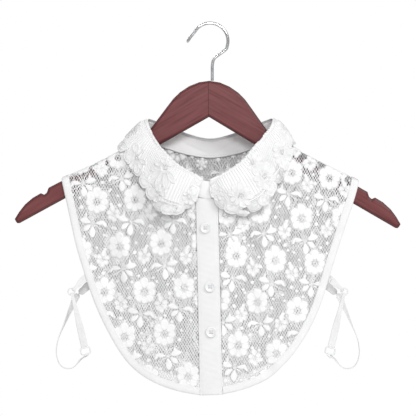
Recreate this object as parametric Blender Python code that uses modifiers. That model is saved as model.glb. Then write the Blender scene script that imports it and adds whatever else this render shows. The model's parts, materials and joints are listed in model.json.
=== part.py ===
# A false collar of corded floral lace, hanging on a flat wooden hanger.
# The origin is the inside of the hook's crown, where a rail carries it.
# +X is to the right as it is seen from the front, +Z is up, and the front faces -Y.
# The tables are in millimetres and the meshes in metres.

import math

import bmesh
import bpy
from mathutils import Matrix, Vector

MM = 0.001

# Hanger
BAR_HALF_THICKNESS = 6.0
BAR_EDGE_ROUNDING = 3.0
HANGER_TILT = math.radians(0.75)
BAR_TOP_HALF = (
    # distance from the middle, height
    (0.0, -65.0),
    (12.0, -66.8),
    (23.2, -71.4),
    (33.6, -78.4),
    (41.3, -86.0),
    (49.0, -96.3),
    (56.2, -106.2),
    (64.0, -117.0),
    (70.0, -124.5),
    (77.0, -132.0),
    (87.0, -140.2),
    (104.0, -151.0),
    (134.0, -167.0),
    (172.0, -184.3),
    (184.0, -190.8),
    (186.0, -196.5),
    (189.0, -199.0),
    (193.0, -197.3),
    (202.0, -202.6),
    (211.0, -210.5),
    (217.5, -219.0),
    (222.6, -227.5),
)
BAR_BOTTOM_HALF = (
    # distance from the middle, height
    (219.5, -233.5),
    (166.0, -203.4),
    (110.0, -170.6),
    (54.0, -138.3),
    (0.0, -106.7),
)
HOOK_WIRE = 3.6
HOOK_CENTRE = (-0.2, -18.9)
HOOK_RADIUS = HOOK_WIRE / 2 - HOOK_CENTRE[1]
HOOK_FIRST_ANGLE = math.radians(152)
HOOK_LAST_ANGLE = math.radians(-28)
HOOK_ARC_STEPS = 16
HOOK_TIP = ((-26.6, -20.6), (-23.6, -15.4))
HOOK_NECK = ((10.6, -34.2), (4.6, -39.4), (2.6, -46.0), (2.4, -56.0), (2.4, -64.6))

# Cloth
WALL = 1.2
SEAM_GAP = 0.3
BAR_CLEARANCE = 1.4
WRAP_FLAT = BAR_HALF_THICKNESS - BAR_EDGE_ROUNDING
WRAP_RADIUS = BAR_EDGE_ROUNDING + BAR_CLEARANCE + WALL
SHOULDER_SLOPE_COSINE = 0.88
SHOULDER_LINE = (
    # distance from the middle, left height, right height
    (55.0, -103.0, -103.0),
    (70.0, -118.5, -118.5),
    (83.0, -130.2, -130.8),
    (92.0, -137.4, -137.6),
    (106.0, -146.4, -147.0),
    (124.0, -155.6, -156.4),
    (136.0, -161.6, -162.4),
    (157.0, -170.8, -172.6),
    (172.5, -177.8, -180.6),
)
OUTLINE = (
    # left x, left z, right x, right z of the bound edge, from the shoulder's tip to the placket
    (-171.8, -177.5, 172.0, -180.4),
    (-167.8, -196.0, 167.2, -198.5),
    (-163.6, -214.5, 161.2, -217.0),
    (-159.6, -233.5, 154.0, -238.5),
    (-154.2, -257.0, 147.0, -260.0),
    (-147.0, -281.0, 140.4, -281.0),
    (-139.3, -305.0, 133.2, -305.0),
    (-129.6, -330.0, 124.4, -330.0),
    (-118.0, -354.0, 112.8, -354.0),
    (-104.2, -377.5, 97.4, -377.5),
    (-91.5, -393.5, 83.0, -393.5),
    (-76.0, -406.0, 68.6, -406.4),
    (-57.5, -415.4, 52.0, -415.0),
    (-36.0, -422.2, 33.0, -421.3),
    (-12.2, -426.4, 14.3, -425.4),
)
OUTLINE_CORNER = 9
BINDING_WIDTH = 9.0
BINDING_TAPE = 0.8
BACK_HEM_RISE = 15.0
BACK_WIDTH_SCALE = 0.985
BACK_CUT_TOP = -184.0
BACK_CUT_LENGTH = 242.0
BACK_NARROWING_LENGTH = 48.4
BULGE = (
    # height, front depth beyond the shoulder, back depth, half width
    (-100.0, 25.0, 23.0, 76.0),
    (-205.0, 25.0, 22.0, 76.0),
    (-260.0, 20.0, 17.0, 80.0),
    (-340.0, 17.0, 13.0, 84.0),
    (-430.0, 15.0, 11.0, 88.0),
)
BULGE_START = 30.0
FOLDS = (
    # top x, top z, bottom x, bottom z, half width, height outward
    (38.0, -285.0, 66.0, -400.0, 9.0, -4.5),
    (56.0, -262.0, 82.0, -350.0, 11.0, 2.6),
    (22.0, -300.0, 40.0, -395.0, 8.0, 2.4),
    (-108.0, -200.0, -88.0, -318.0, 10.0, 2.8),
    (-128.0, -215.0, -108.0, -330.0, 9.0, -2.2),
    (-52.0, -300.0, -70.0, -395.0, 10.0, 2.0),
    (118.0, -205.0, 104.0, -300.0, 10.0, 2.2),
    (-62.0, -225.0, -44.0, -300.0, 12.0, -1.8),
    (70.0, -225.0, 50.0, -275.0, 12.0, 1.6),
)

# Neck: the fold line along the top of the stand, and the seam at its base
NECK_STATIONS = (
    # fold x, fold y, fold z, seam x, seam y, seam z
    (-16.4, -37.2, -176.8, -16.9, -33.0, -198.6),
    (-35.0, -33.8, -166.2, -38.0, -30.4, -187.0),
    (-49.0, -28.6, -153.6, -55.0, -25.6, -173.0),
    (-58.6, -22.0, -140.6, -68.0, -19.4, -157.5),
    (-67.2, -13.4, -127.0, -77.8, -14.0, -142.4),
    (-71.0, -7.6, -118.4, -82.8, -8.6, -133.2),
    (-71.8, 0.0, -113.6, -84.2, 0.0, -130.6),
    (-70.4, 7.6, -112.0, -82.8, 8.6, -132.6),
    (-65.4, 14.0, -113.4, -76.6, 14.4, -136.0),
    (-48.0, 24.6, -119.6, -56.0, 23.0, -141.4),
    (-25.0, 31.6, -128.8, -29.0, 29.0, -149.6),
    (0.0, 34.0, -134.0, 0.0, 31.0, -153.6),
    (25.0, 31.6, -128.8, 29.0, 29.0, -149.6),
    (48.0, 24.6, -119.6, 56.0, 23.0, -141.4),
    (65.4, 14.0, -113.2, 76.6, 14.4, -136.2),
    (70.4, 7.6, -111.6, 82.8, 8.6, -133.0),
    (72.0, 0.0, -112.6, 84.2, 0.0, -131.0),
    (71.2, -7.6, -116.6, 82.8, -8.6, -133.6),
    (67.6, -13.4, -123.6, 77.8, -14.0, -141.6),
    (60.0, -21.4, -132.6, 68.0, -19.4, -155.0),
    (49.4, -28.4, -145.0, 56.0, -25.6, -169.5),
    (34.0, -34.2, -162.4, 37.0, -30.6, -186.0),
    (8.6, -38.0, -179.0, 8.9, -33.4, -200.2),
)
LEFT_SHOULDER_STATION = 6
BACK_MIDDLE_STATION = 11
RIGHT_SHOULDER_STATION = 16
NECK_COLUMNS = 9
BACK_NECK_COLUMNS = 6
SHOULDER_COLUMNS = 6
PANEL_ROWS = 13
# heights of a panel's first rows below its neck seam and below the shoulder's line
NECK_DROPS = (SEAM_GAP, 1.6, 3.4, 7.0)
SHOULDER_DROPS = (0.0, 0.0, 1.9, 7.0)
TIP_BINDING_WIDTH = 7.11
CORNER_SPREAD = 0.35
SHOULDER_START = 0.8
NECK_BLEND = 25.0
STAND_WALL = 1.6
STAND_ROWS = 4
STAND_FRONT_MEETING = ((-4.0, -38.4, -180.8), (-4.0, -33.8, -201.2))

# Collar fall: one leaf from its left point round the back to its right point
FALL_WALL = 1.3
FALL_LIFT = 2.2
FALL_RISE = 2.4
FALL_EDGE = (
    # edge x, edge y, edge z, a row for each station of the neck
    (-44.0, -40.0, -220.0),
    (-57.5, -36.0, -217.0),
    (-71.0, -28.0, -199.5),
    (-84.0, -20.0, -177.0),
    (-95.5, -15.0, -160.0),
    (-104.0, -8.0, -149.0),
    (-106.5, 0.0, -143.6),
    (-104.0, 9.0, -150.0),
    (-95.0, 17.0, -159.5),
    (-71.0, 28.0, -170.0),
    (-38.0, 34.5, -179.0),
    (0.0, 37.0, -183.0),
    (38.0, 34.5, -179.0),
    (69.0, 28.0, -170.0),
    (88.0, 17.0, -158.0),
    (96.0, 9.0, -147.5),
    (97.5, 0.0, -138.8),
    (96.0, -8.0, -147.0),
    (92.5, -15.0, -157.5),
    (84.0, -20.0, -175.5),
    (73.0, -28.0, -194.5),
    (61.0, -35.0, -211.0),
    (41.0, -40.0, -219.5),
)
LEFT_FRONT_EDGE = (
    # x, z down the short front edge of the left leaf
    (-5.0, -181.6),
    (-10.8, -191.0),
    (-15.0, -202.5),
    (-23.5, -211.6),
    (-33.5, -217.6),
    (-44.0, -220.0),
)
RIGHT_FRONT_EDGE = (
    # x, z down the short front edge of the right leaf
    (-3.0, -181.6),
    (-1.5, -190.0),
    (2.0, -200.5),
    (9.0, -210.5),
    (21.5, -217.6),
    (41.0, -219.5),
)
# the curve of a section of the fall: out over the roll, then down with a soft belly
FALL_SPREAD_SHARE = 0.55
FALL_ROLL = 6.5
FALL_CREST = 1.0
FALL_BELLY = 3.5
FALL_BELLY_PLACE = 0.62
LEAF_END_SHARE = 0.085
LEAF_TOP_LIFT = 3.2
LEAF_DEPTHS = (-38.6, -36.6)
SCALLOPS = 31
FALL_STATIONS = 4 * SCALLOPS
FALL_ROWS = 8
SCALLOP_SHARE = 0.06
PAD_HEIGHT = 0.7

# Placket and buttons
PLACKET_LINES = (
    # height, left edge x, right edge x
    (-199.0, -16.6, 8.6),
    (-310.0, -14.2, 11.4),
    (-430.0, -11.8, 14.4),
)
# heights of the ends at the left and at the right edge, and the sag between them
PLACKET_TOP_ENDS = (-199.2, -200.8)
PLACKET_TOP_SAG = 2.4
PLACKET_BOTTOM_ENDS = (-426.6, -425.7)
PLACKET_BOTTOM_SAG = 0.6
PLACKET_TOP_DEPTH = -33.2
PLACKET_PROUD = 0.4
PLACKET_WALL = 1.4
PLACKET_ROWS = 22
PLACKET_COLUMNS = 4
UNDER_PLACKET_INSET = 1.5
BUTTON_RADIUS = 6.2
BUTTON_SEAT = 0.4
BUTTON_STEPS = 20
BUTTON_PROFILE = (
    # radius, height: from the middle of the face over the rim to the middle of the back
    (0.0, 1.7),
    (3.6, 1.7),
    (4.5, 2.3),
    (5.4, 2.6),
    (BUTTON_RADIUS, 1.9),
    (BUTTON_RADIUS, 0.9),
    (5.2, 0.0),
    (0.0, 0.0),
)
BUTTONS = (
    # x, z
    (-5.4, -234.3),
    (-0.2, -301.9),
    (0.9, -353.9),
)

# Side straps
ELASTIC = 1.0
STRAP_WIDTH = 8.0
RING_RADIUS = 3.9
RING_WIRE = 1.6
RING_SLACK = 0.3
RING_TURN = 0.945
NARROW_STRAP = 3.6
SLIDER_HALF_WIDTH = 5.4
SLIDER_HALF_HEIGHT = 3.6
SLIDER_WIRE = 1.7
STRAP_SEAT = 0.4
LAYER_SPREAD = 0.65
HAIRPIN_SHARES = (0.0, 0.35, 0.7, 0.93)
HAIRPIN_STRAIGHT = 0.9
HAIRPIN_TURN_STEPS = 6
LOOP_END_SKEW = 1.3
LOOP_LEAN = 0.4
TAB_HEIGHT = -293.0
LOOP_END_HEIGHT = -298.0
STRAPS = (
    # side, ring x, ring z, slider x, slider z
    ("left", -159.6, -308.0, -143.6, -376.2),
    ("right", 154.6, -308.0, 138.2, -376.2),
)
LOOP_ROUTE = (
    # outward from the slider, height, depth, share of the width turned into the depth
    (-0.6, -382.0, -9.6, 0.15),
    (4.8, -385.4, -8.8, 0.65),
    (9.9, -391.4, -7.8, 0.90),
    (14.5, -395.6, -6.8, 1.00),
    (20.4, -396.9, -5.6, 1.00),
    (26.9, -395.0, -4.4, 1.00),
    (31.5, -389.4, -3.0, 1.00),
    (34.0, -379.6, -1.4, 1.00),
    (33.4, -369.6, 0.4, 1.00),
    (31.0, -360.0, 2.0, 0.96),
    (26.4, -349.0, 4.0, 0.85),
    (21.4, -337.0, 6.0, 0.65),
    (16.2, -325.0, 7.6, 0.45),
    (10.6, -313.6, 8.8, 0.30),
)


def material(name, colour, roughness, metallic=0.0):
    """A Principled material from a colour, a roughness and a metallic value."""
    made = bpy.data.materials.new(name)
    made.use_nodes = True
    shader = made.node_tree.nodes["Principled BSDF"]
    shader.inputs["Base Color"].default_value = (*colour, 1.0)
    shader.inputs["Roughness"].default_value = roughness
    shader.inputs["Metallic"].default_value = metallic
    return made


def clamp(value, low=0.0, high=1.0):
    return max(low, min(high, value))


def smooth_step(value):
    value = clamp(value)
    return value * value * (3.0 - 2.0 * value)


def from_table(rows, key, column):
    """The value of a column at a key of the first column, on straight lines."""
    ordered = sorted(rows, key=lambda row: row[0])
    if key <= ordered[0][0]:
        return ordered[0][column]
    for low, high in zip(ordered, ordered[1:]):
        if key <= high[0]:
            share = (key - low[0]) / (high[0] - low[0])
            return low[column] + share * (high[column] - low[column])
    return ordered[-1][column]


def spline_point(points, place):
    """A point of the smooth curve through the points, at a place counted in points."""
    last = len(points) - 1
    index = min(int(clamp(place, 0.0, last)), last - 1)
    share = clamp(place, 0.0, last) - index
    before = points[max(index - 1, 0)]
    start, end = points[index], points[index + 1]
    after = points[min(index + 2, last)]
    return tuple(
        0.5 * (2 * b + (c - a) * share + (2 * a - 5 * b + 4 * c - d) * share ** 2
               + (3 * b - a - 3 * c + d) * share ** 3)
        for a, b, c, d in zip(before, start, end, after)
    )


def even_places(points, count, first, last):
    """Places along a smooth curve, count + 1 of them, evenly spaced by length."""
    fine = 40 * count
    places = [first + (last - first) * i / fine for i in range(fine + 1)]
    along = [0.0]
    for low, high in zip(places, places[1:]):
        a, b = Vector(spline_point(points, low)), Vector(spline_point(points, high))
        along.append(along[-1] + (b - a).length)
    chosen, reached = [], 0
    for i in range(count + 1):
        target = along[-1] * i / count
        while reached < fine and along[reached + 1] < target:
            reached += 1
        step = along[min(reached + 1, fine)] - along[reached]
        share = (target - along[reached]) / step if step else 0.0
        chosen.append(places[reached] + share * (last - first) / fine)
    return chosen


def shoulder_height(x):
    """The height of the cloth's top line over the bar."""
    return from_table(SHOULDER_LINE, abs(x), 1 if x < 0 else 2)


def fold_height(x, z):
    """How far the folds lift the front outward at a place."""
    lift = 0.0
    for top_x, top_z, bottom_x, bottom_z, half_width, height in FOLDS:
        share = (top_z - z) / (top_z - bottom_z)
        middle = top_x + share * (bottom_x - top_x)
        fade = smooth_step(share / 0.3) * smooth_step((1.15 - share) / 0.3)
        lift += height * fade * math.exp(-(((x - middle) / half_width) ** 2))
    return lift


def cloth_depth(x, z, face):
    """The depth of the outer face of the cloth, in front or behind the bar."""
    below = max(shoulder_height(x) - z, 0.0)
    reach = min(below * SHOULDER_SLOPE_COSINE, WRAP_RADIUS)
    wrap = WRAP_FLAT + math.sqrt(WRAP_RADIUS ** 2 - (WRAP_RADIUS - reach) ** 2)
    column = 1 if face == "front" else 2
    bulge = from_table(BULGE, z, column)
    half_width = from_table(BULGE, z, 3)
    spread = math.exp(-((x / half_width) ** 2))
    depth = wrap + bulge * spread * smooth_step(below / BULGE_START)
    if face == "front":
        return -(depth + fold_height(x, z))
    return depth + 0.5 * fold_height(-x, z)


def placket_edge(z, column):
    return from_table(PLACKET_LINES, z, column)


def neck_places(face, side):
    """Places on the neck table for the columns of one half, from the middle to the shoulder."""
    seam = [row[3:] for row in NECK_STATIONS]
    last = len(NECK_STATIONS) - 1
    ends = {
        ("front", "left"): (0.0, LEFT_SHOULDER_STATION, NECK_COLUMNS),
        ("front", "right"): (last, RIGHT_SHOULDER_STATION, NECK_COLUMNS),
        ("back", "left"): (BACK_MIDDLE_STATION, LEFT_SHOULDER_STATION, BACK_NECK_COLUMNS),
        ("back", "right"): (BACK_MIDDLE_STATION, RIGHT_SHOULDER_STATION, BACK_NECK_COLUMNS),
    }
    first, final, count = ends[face, side]
    return even_places(seam, count, float(first), float(final))


def outline_points(face, side):
    """The bound edge of one half, from the tip of the shoulder to the placket or the middle."""
    chosen = []
    for left_x, left_z, right_x, right_z in OUTLINE:
        x, z = (left_x, left_z) if side == "left" else (right_x, right_z)
        if face == "back":
            drop = clamp((BACK_CUT_TOP - z) / BACK_CUT_LENGTH)
            narrowed = smooth_step(drop * BACK_CUT_LENGTH / BACK_NARROWING_LENGTH)
            x = x * (1.0 - (1.0 - BACK_WIDTH_SCALE) * narrowed)
            z = z + BACK_HEM_RISE * drop
        chosen.append((x, z))
    if face == "back":
        chosen[-1] = (0.0, chosen[-1][1])
    return chosen


def moved_in(points, distance, side):
    """An outline moved in towards the garment's middle."""
    turn = 1.0 if side == "left" else -1.0
    moved = []
    for i, (x, z) in enumerate(points):
        before, after = points[max(i - 1, 0)], points[min(i + 1, len(points) - 1)]
        along = Vector((after[0] - before[0], after[1] - before[1])).normalized()
        moved.append((x - along[1] * distance * turn, z + along[0] * distance * turn))
    return moved


def patch(top, bottom, start, end):
    """The grid of points between four boundary curves, by columns."""
    across, down = len(top) - 1, len(start) - 1
    grid = []
    for i in range(across + 1):
        u = i / across
        column = []
        for j in range(down + 1):
            v = j / down
            point = []
            for axis in range(2):
                edges = (1 - v) * top[i][axis] + v * bottom[i][axis]
                edges += (1 - u) * start[j][axis] + u * end[j][axis]
                corners = (1 - u) * (1 - v) * top[0][axis] + u * (1 - v) * top[-1][axis]
                corners += (1 - u) * v * bottom[0][axis] + u * v * bottom[-1][axis]
                point.append(edges - corners)
            column.append(tuple(point))
        grid.append(column)
    return grid


def panel_grid(face, side):
    """The outer face of one half of a panel, by columns from its middle to its bound edge."""
    turn = -1.0 if face == "front" else 1.0
    seam = [row[3:] for row in NECK_STATIONS]
    neck = [spline_point(seam, place) for place in neck_places(face, side)]
    neck_count = len(neck) - 1
    outline = outline_points(face, side)
    edge = moved_in(outline, BINDING_TAPE + SEAM_GAP, side)
    inner = moved_in(outline, BINDING_WIDTH, side)
    tip_x = edge[0][0]
    tip_inner_x = tip_x - math.copysign(TIP_BINDING_WIDTH, tip_x)
    shoulder_x = neck[-1][0] + math.copysign(SHOULDER_START, tip_x)
    shoulder = []
    for i in range(SHOULDER_COLUMNS + 1):
        x = shoulder_x + (tip_inner_x - shoulder_x) * i / SHOULDER_COLUMNS
        shoulder.append((x, shoulder_height(x)))
    top = [(x, z) for x, y, z in neck[:-1]] + shoulder

    # the four sides of the panel's inside, which the top rows and the bound edge frame
    full_drop = SHOULDER_DROPS[-1]
    start_top = top[0][1] - full_drop
    start_bottom = inner[-1][1]
    start = []
    for j in range(PANEL_ROWS + 1):
        z = start_top + (start_bottom - start_top) * j / PANEL_ROWS
        if face == "back":
            x = 0.0
        elif side == "left":
            x = placket_edge(z, 1) - SEAM_GAP
        else:
            x = placket_edge(z, 2) + SEAM_GAP
        start.append((x, z))
    inner[0] = (tip_inner_x, shoulder_height(tip_inner_x) - full_drop)
    inner[-1] = start[-1]
    edge[0] = (tip_x, shoulder_height(tip_x) - full_drop)
    edge[-1] = (start[-1][0], edge[-1][1])
    columns = len(top) - 1
    corner = float(OUTLINE_CORNER)
    side_places = even_places(inner, PANEL_ROWS, 0.0, corner)
    hem_places = even_places(inner, columns, float(len(inner) - 1), corner)
    end = [spline_point(inner, place) for place in side_places]
    bottom = [spline_point(inner, place) for place in hem_places]
    lowered = [(x, z - full_drop) for x, z in top]
    lowered[0] = start[0]
    inside = patch(lowered, bottom, start, end)

    grid = []
    for i in range(columns + 1):
        x, z = top[i]
        drops = NECK_DROPS if i < neck_count else SHOULDER_DROPS
        column = [(x, z - drop) for drop in drops[:-1]] + inside[i]
        column.append(spline_point(edge, hem_places[i]))
        grid.append(column)
    last = [(tip_x, shoulder_height(tip_x) - drop) for drop in SHOULDER_DROPS[:-1]]
    last += [spline_point(edge, place) for place in side_places]
    last.append(spline_point(edge, corner))
    grid.append(last)
    # the corner of the bound edge is spread between its two neighbours
    grid[-1][-2] = spline_point(edge, corner - CORNER_SPREAD)
    grid[-2][-1] = spline_point(edge, corner + CORNER_SPREAD)

    solid = []
    for i, column in enumerate(grid):
        raised = []
        for j, (x, z) in enumerate(column):
            depth = cloth_depth(x, z, face)
            if i < neck_count:
                fall = neck[i][2] - z
                depth += (neck[i][1] - depth) * (1.0 - smooth_step(fall / NECK_BLEND))
            elif j == 0:
                depth = turn * SEAM_GAP / 2
            elif j == 1:
                depth = turn * WRAP_FLAT
            raised.append(Vector((x, depth, z)))
        solid.append(raised)
    return solid


def grid_normals(grid, outward):
    """The unit normals of a grid of points, turned to the side that outward names."""
    normals = []
    for i, column in enumerate(grid):
        row = []
        for j, point in enumerate(column):
            left = grid[max(i - 1, 0)][j]
            right = grid[min(i + 1, len(grid) - 1)][j]
            above = column[max(j - 1, 0)]
            below = column[min(j + 1, len(column) - 1)]
            normal = (right - left).cross(below - above)
            if normal.length < 1e-9:
                normal = Vector((0.0, -1.0, 0.0))
            normal.normalize()
            row.append(normal)
        normals.append(row)
    middle = normals[len(grid) // 2][len(grid[0]) // 2]
    if middle.dot(outward) < 0:
        normals = [[-normal for normal in row] for row in normals]
    return normals


def new_object(name, mesh, finish):
    mesh.materials.append(finish)
    made = bpy.data.objects.new(name, mesh)
    parts.objects.link(made)
    return made


def finished_mesh(name, bm):
    """A mesh in metres from a bmesh in millimetres, with its faces pointing out."""
    bmesh.ops.recalc_face_normals(bm, faces=bm.faces)
    bmesh.ops.scale(bm, vec=(MM, MM, MM), verts=bm.verts)
    mesh = bpy.data.meshes.new(name)
    bm.to_mesh(mesh)
    bm.free()
    mesh.shade_smooth()
    mesh.set_sharp_from_angle(angle=math.radians(40))
    return mesh


def split_quad(bm, a, b, c, d):
    """Two triangles that share the edge from a to c."""
    bm.faces.new((a, b, c))
    bm.faces.new((a, c, d))


def wall(name, outer, inner, finish, joined=False, ring_columns=()):
    """A closed wall between two grids of points, open round a ring where joined is set.

    The cells are split from their near lower corner to the far upper one, and the other
    way in the columns that a binding follows downward.
    """
    bm = bmesh.new()
    faces = []
    rows = len(outer[0])
    for grid in (outer, inner):
        faces.append([[bm.verts.new(point) for point in column] for column in grid])
    count = len(outer)
    steps = count if joined else count - 1
    for i in range(steps):
        k = (i + 1) % count
        for j in range(rows - 1):
            for side in faces:
                cell = (side[i][j], side[k][j], side[k][j + 1], side[i][j + 1])
                if i in ring_columns and not (i == 0 and j == rows - 2):
                    split_quad(bm, *cell)
                else:
                    split_quad(bm, *cell[1:], cell[0])
        for j in (0, rows - 1):
            bm.faces.new((faces[0][i][j], faces[0][k][j], faces[1][k][j], faces[1][i][j]))
    if not joined:
        for i in (0, count - 1):
            for j in range(rows - 1):
                bm.faces.new((faces[0][i][j], faces[0][i][j + 1], faces[1][i][j + 1], faces[1][i][j]))
    return new_object(name, finished_mesh(name, bm), finish)


def moved(grid, normals, distance):
    return [[point + normal * distance for point, normal in zip(column, row)]
            for column, row in zip(grid, normals)]


def loft(name, sections, finish, turned=()):
    """A closed solid through sections of equal point counts, with flat ends.

    The sides named in turned are split along their other diagonal.
    """
    bm = bmesh.new()
    rings = [[bm.verts.new(point) for point in section] for section in sections]
    count = len(rings[0])
    for low, high in zip(rings, rings[1:]):
        for k in range(count):
            n = (k + 1) % count
            if k in turned:
                split_quad(bm, low[n], high[n], high[k], low[k])
            else:
                split_quad(bm, low[k], low[n], high[n], high[k])
    bm.faces.new(rings[0])
    bm.faces.new(reversed(rings[-1]))
    return new_object(name, finished_mesh(name, bm), finish)


def panel(name, grid, outward, finish):
    normals = grid_normals(grid, outward)
    ring_columns = (0, len(grid) - 2) if name == "back" else (len(grid) - 2,)
    return wall(name, grid, moved(grid, normals, -WALL), finish, ring_columns=ring_columns)


def edge_stations(grid, normals, both_sides):
    """The edge point, the point inside it and their normals, from the shoulder down and along."""
    columns, rows = len(grid), len(grid[0])
    last, inside = columns - 1, columns - 2

    def station(i, j, k, n):
        return grid[i][j], grid[k][n], normals[i][j], normals[k][n]

    stations = [station(last, j, inside, j) for j in range(rows - 1)]
    stations.append(station(last, rows - 1, inside, rows - 2))
    first = 1 if both_sides else 0
    stations += [station(i, rows - 1, i, rows - 2) for i in range(inside, first - 1, -1)]
    if both_sides:
        stations.append(station(0, rows - 1, 1, rows - 2))
        stations += [station(0, j, 1, j) for j in range(rows - 2, -1, -1)]
    return stations


def binding_section(edge, inside, edge_normal, inside_normal):
    """The U of bias tape round the edge of a panel."""
    outward = (edge - inside).normalized()
    face = SEAM_GAP + BINDING_TAPE
    under = WALL + SEAM_GAP
    return (
        inside + inside_normal * face,
        edge + edge_normal * face,
        edge + outward * face + edge_normal * 0.2,
        edge + outward * face - edge_normal * (WALL + 0.2),
        edge - edge_normal * (under + BINDING_TAPE),
        inside - inside_normal * (under + BINDING_TAPE),
        inside - inside_normal * under,
        edge + outward * SEAM_GAP - edge_normal * under,
        edge + outward * SEAM_GAP + edge_normal * SEAM_GAP,
        inside + inside_normal * SEAM_GAP,
    )


def binding(name, grid, outward, finish, both_sides=False):
    normals = grid_normals(grid, outward)
    stations = edge_stations(grid, normals, both_sides)
    sections = [binding_section(*station) for station in stations]
    return loft(name, sections, finish, turned=(0, 8))


def make_hanger(wood, steel):
    right = list(BAR_TOP_HALF) + list(BAR_BOTTOM_HALF)
    left = [(-x, z) for x, z in reversed(right) if x > 0]
    bm = bmesh.new()
    front = [bm.verts.new((x, -BAR_HALF_THICKNESS, z)) for x, z in right + left]
    face = bm.faces.new(front)
    made = bmesh.ops.extrude_face_region(bm, geom=[face])
    moved_verts = [v for v in made["geom"] if isinstance(v, bmesh.types.BMVert)]
    bmesh.ops.translate(bm, verts=moved_verts, vec=(0.0, 2 * BAR_HALF_THICKNESS, 0.0))
    bmesh.ops.rotate(bm, verts=bm.verts, matrix=Matrix.Rotation(HANGER_TILT, 3, "Y"))
    bar = new_object("hanger_bar", finished_mesh("hanger_bar", bm), wood)
    rounding = bar.modifiers.new("edge rounding", "BEVEL")
    rounding.limit_method = "ANGLE"
    rounding.angle_limit = math.radians(80)
    rounding.width = BAR_EDGE_ROUNDING * MM
    rounding.segments = 2

    route = [Vector((x, 0.0, z)) for x, z in HOOK_TIP]
    for i in range(HOOK_ARC_STEPS + 1):
        angle = HOOK_FIRST_ANGLE + (HOOK_LAST_ANGLE - HOOK_FIRST_ANGLE) * i / HOOK_ARC_STEPS
        x = HOOK_CENTRE[0] + HOOK_RADIUS * math.cos(angle)
        z = HOOK_CENTRE[1] + HOOK_RADIUS * math.sin(angle)
        route.append(Vector((x, 0.0, z)))
    route += [Vector((x, 0.0, z)) for x, z in HOOK_NECK]
    hook = wire_mesh("hanger_hook", route, HOOK_WIRE / 2, 2, steel)
    return bar, hook


def wire_mesh(name, route, radius, resolution, finish, ring=False):
    """A bent wire or a closed ring, as a mesh made from a bevelled curve."""
    curve = bpy.data.curves.new(name, "CURVE")
    curve.dimensions = "3D"
    curve.bevel_depth = radius * MM
    curve.bevel_resolution = resolution
    curve.use_fill_caps = not ring
    spline = curve.splines.new("POLY")
    spline.points.add(len(route) - 1)
    for point, place in zip(spline.points, route):
        point.co = (*(place * MM), 1.0)
    spline.use_cyclic_u = ring
    guide = bpy.data.objects.new(name + " guide", curve)
    parts.objects.link(guide)
    bpy.context.view_layer.update()
    evaluated = guide.evaluated_get(bpy.context.evaluated_depsgraph_get())
    mesh = bpy.data.meshes.new_from_object(evaluated)
    bpy.data.objects.remove(guide)
    mesh.name = name
    bm = bmesh.new()
    bm.from_mesh(mesh)
    bmesh.ops.remove_doubles(bm, verts=bm.verts, dist=0.00001)
    bmesh.ops.recalc_face_normals(bm, faces=bm.faces)
    bm.to_mesh(mesh)
    bm.free()
    mesh.materials.clear()
    mesh.shade_smooth()
    return new_object(name, mesh, finish)


def ribbon(name, stations, thickness, finish):
    """A flat band through stations of a point, a width direction and a width."""
    sections = []
    for i, (point, across, width) in enumerate(stations):
        before = stations[max(i - 1, 0)][0]
        after = stations[min(i + 1, len(stations) - 1)][0]
        along = (after - before).normalized()
        if 0 < i < len(stations) - 1:
            across = across - along * across.dot(along)
        across = across.normalized()
        normal = along.cross(across).normalized()
        half_width, half_depth = across * width / 2, normal * thickness / 2
        sections.append((
            point - half_width - half_depth,
            point + half_width - half_depth,
            point + half_width + half_depth,
            point - half_width + half_depth,
        ))
    return loft(name, sections, finish)


def neck_ring():
    """The places of every column of the stand, round the neck from the left of the placket."""
    left = neck_places("front", "left")
    back_left = neck_places("back", "left")
    back_right = neck_places("back", "right")
    right = neck_places("front", "right")
    return left + back_left[-2::-1] + back_right[1:] + right[-2::-1]


def make_stand(cotton):
    fold = [row[:3] for row in NECK_STATIONS]
    seam = [row[3:] for row in NECK_STATIONS]
    columns = []
    for place in neck_ring():
        top, base = Vector(spline_point(fold, place)), Vector(spline_point(seam, place))
        up = (top - base).normalized()
        columns.append((top - up * SEAM_GAP, base + up * SEAM_GAP))
    # the two ends meet in front, under the leaves
    top, base = (Vector(place) for place in STAND_FRONT_MEETING)
    rise = Vector((0.0, 0.0, SEAM_GAP))
    columns.append((top - rise, base + rise))
    outer, inner = [], []
    count = len(columns)
    for i, (top, base) in enumerate(columns):
        before, after = columns[(i - 1) % count], columns[(i + 1) % count]
        along = after[1] - before[1]
        normal = Vector((along.y, -along.x, 0.0)).normalized()
        if normal.dot(base) < 0:
            normal = -normal
        outer.append([top.lerp(base, j / STAND_ROWS) for j in range(STAND_ROWS + 1)])
        inner.append([point - normal * STAND_WALL for point in outer[-1]])
    return wall("collar_stand", outer, inner, cotton, joined=True)


def fall_section(place, row_share):
    """A point of the collar fall at a neck place, row_share of the way from fold to edge."""
    fold = [row[:3] for row in NECK_STATIONS]
    top = Vector(spline_point(fold, place)) + Vector((0.0, 0.0, FALL_RISE))
    rim = Vector(spline_point(FALL_EDGE, place))
    away = Vector((top.x * FALL_SPREAD_SHARE, top.y, 0.0)).normalized()
    first = top + away * FALL_ROLL + Vector((0.0, 0.0, FALL_CREST))
    second = top.lerp(rim, FALL_BELLY_PLACE) + away * FALL_BELLY
    s = row_share
    point = top * (1 - s) ** 3 + first * (3 * s * (1 - s) ** 2)
    point += second * (3 * s * s * (1 - s)) + rim * s ** 3
    return point


def fall_point(share, row_share):
    """A point of the fall, share of the way from its left front edge to its right one."""
    last = len(NECK_STATIONS) - 1
    if share < LEAF_END_SHARE:
        return front_leaf_point("left", share / LEAF_END_SHARE, row_share)
    if share > 1.0 - LEAF_END_SHARE:
        return front_leaf_point("right", (1.0 - share) / LEAF_END_SHARE, row_share)
    return fall_section(last * (share - LEAF_END_SHARE) / (1.0 - 2 * LEAF_END_SHARE), row_share)


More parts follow.
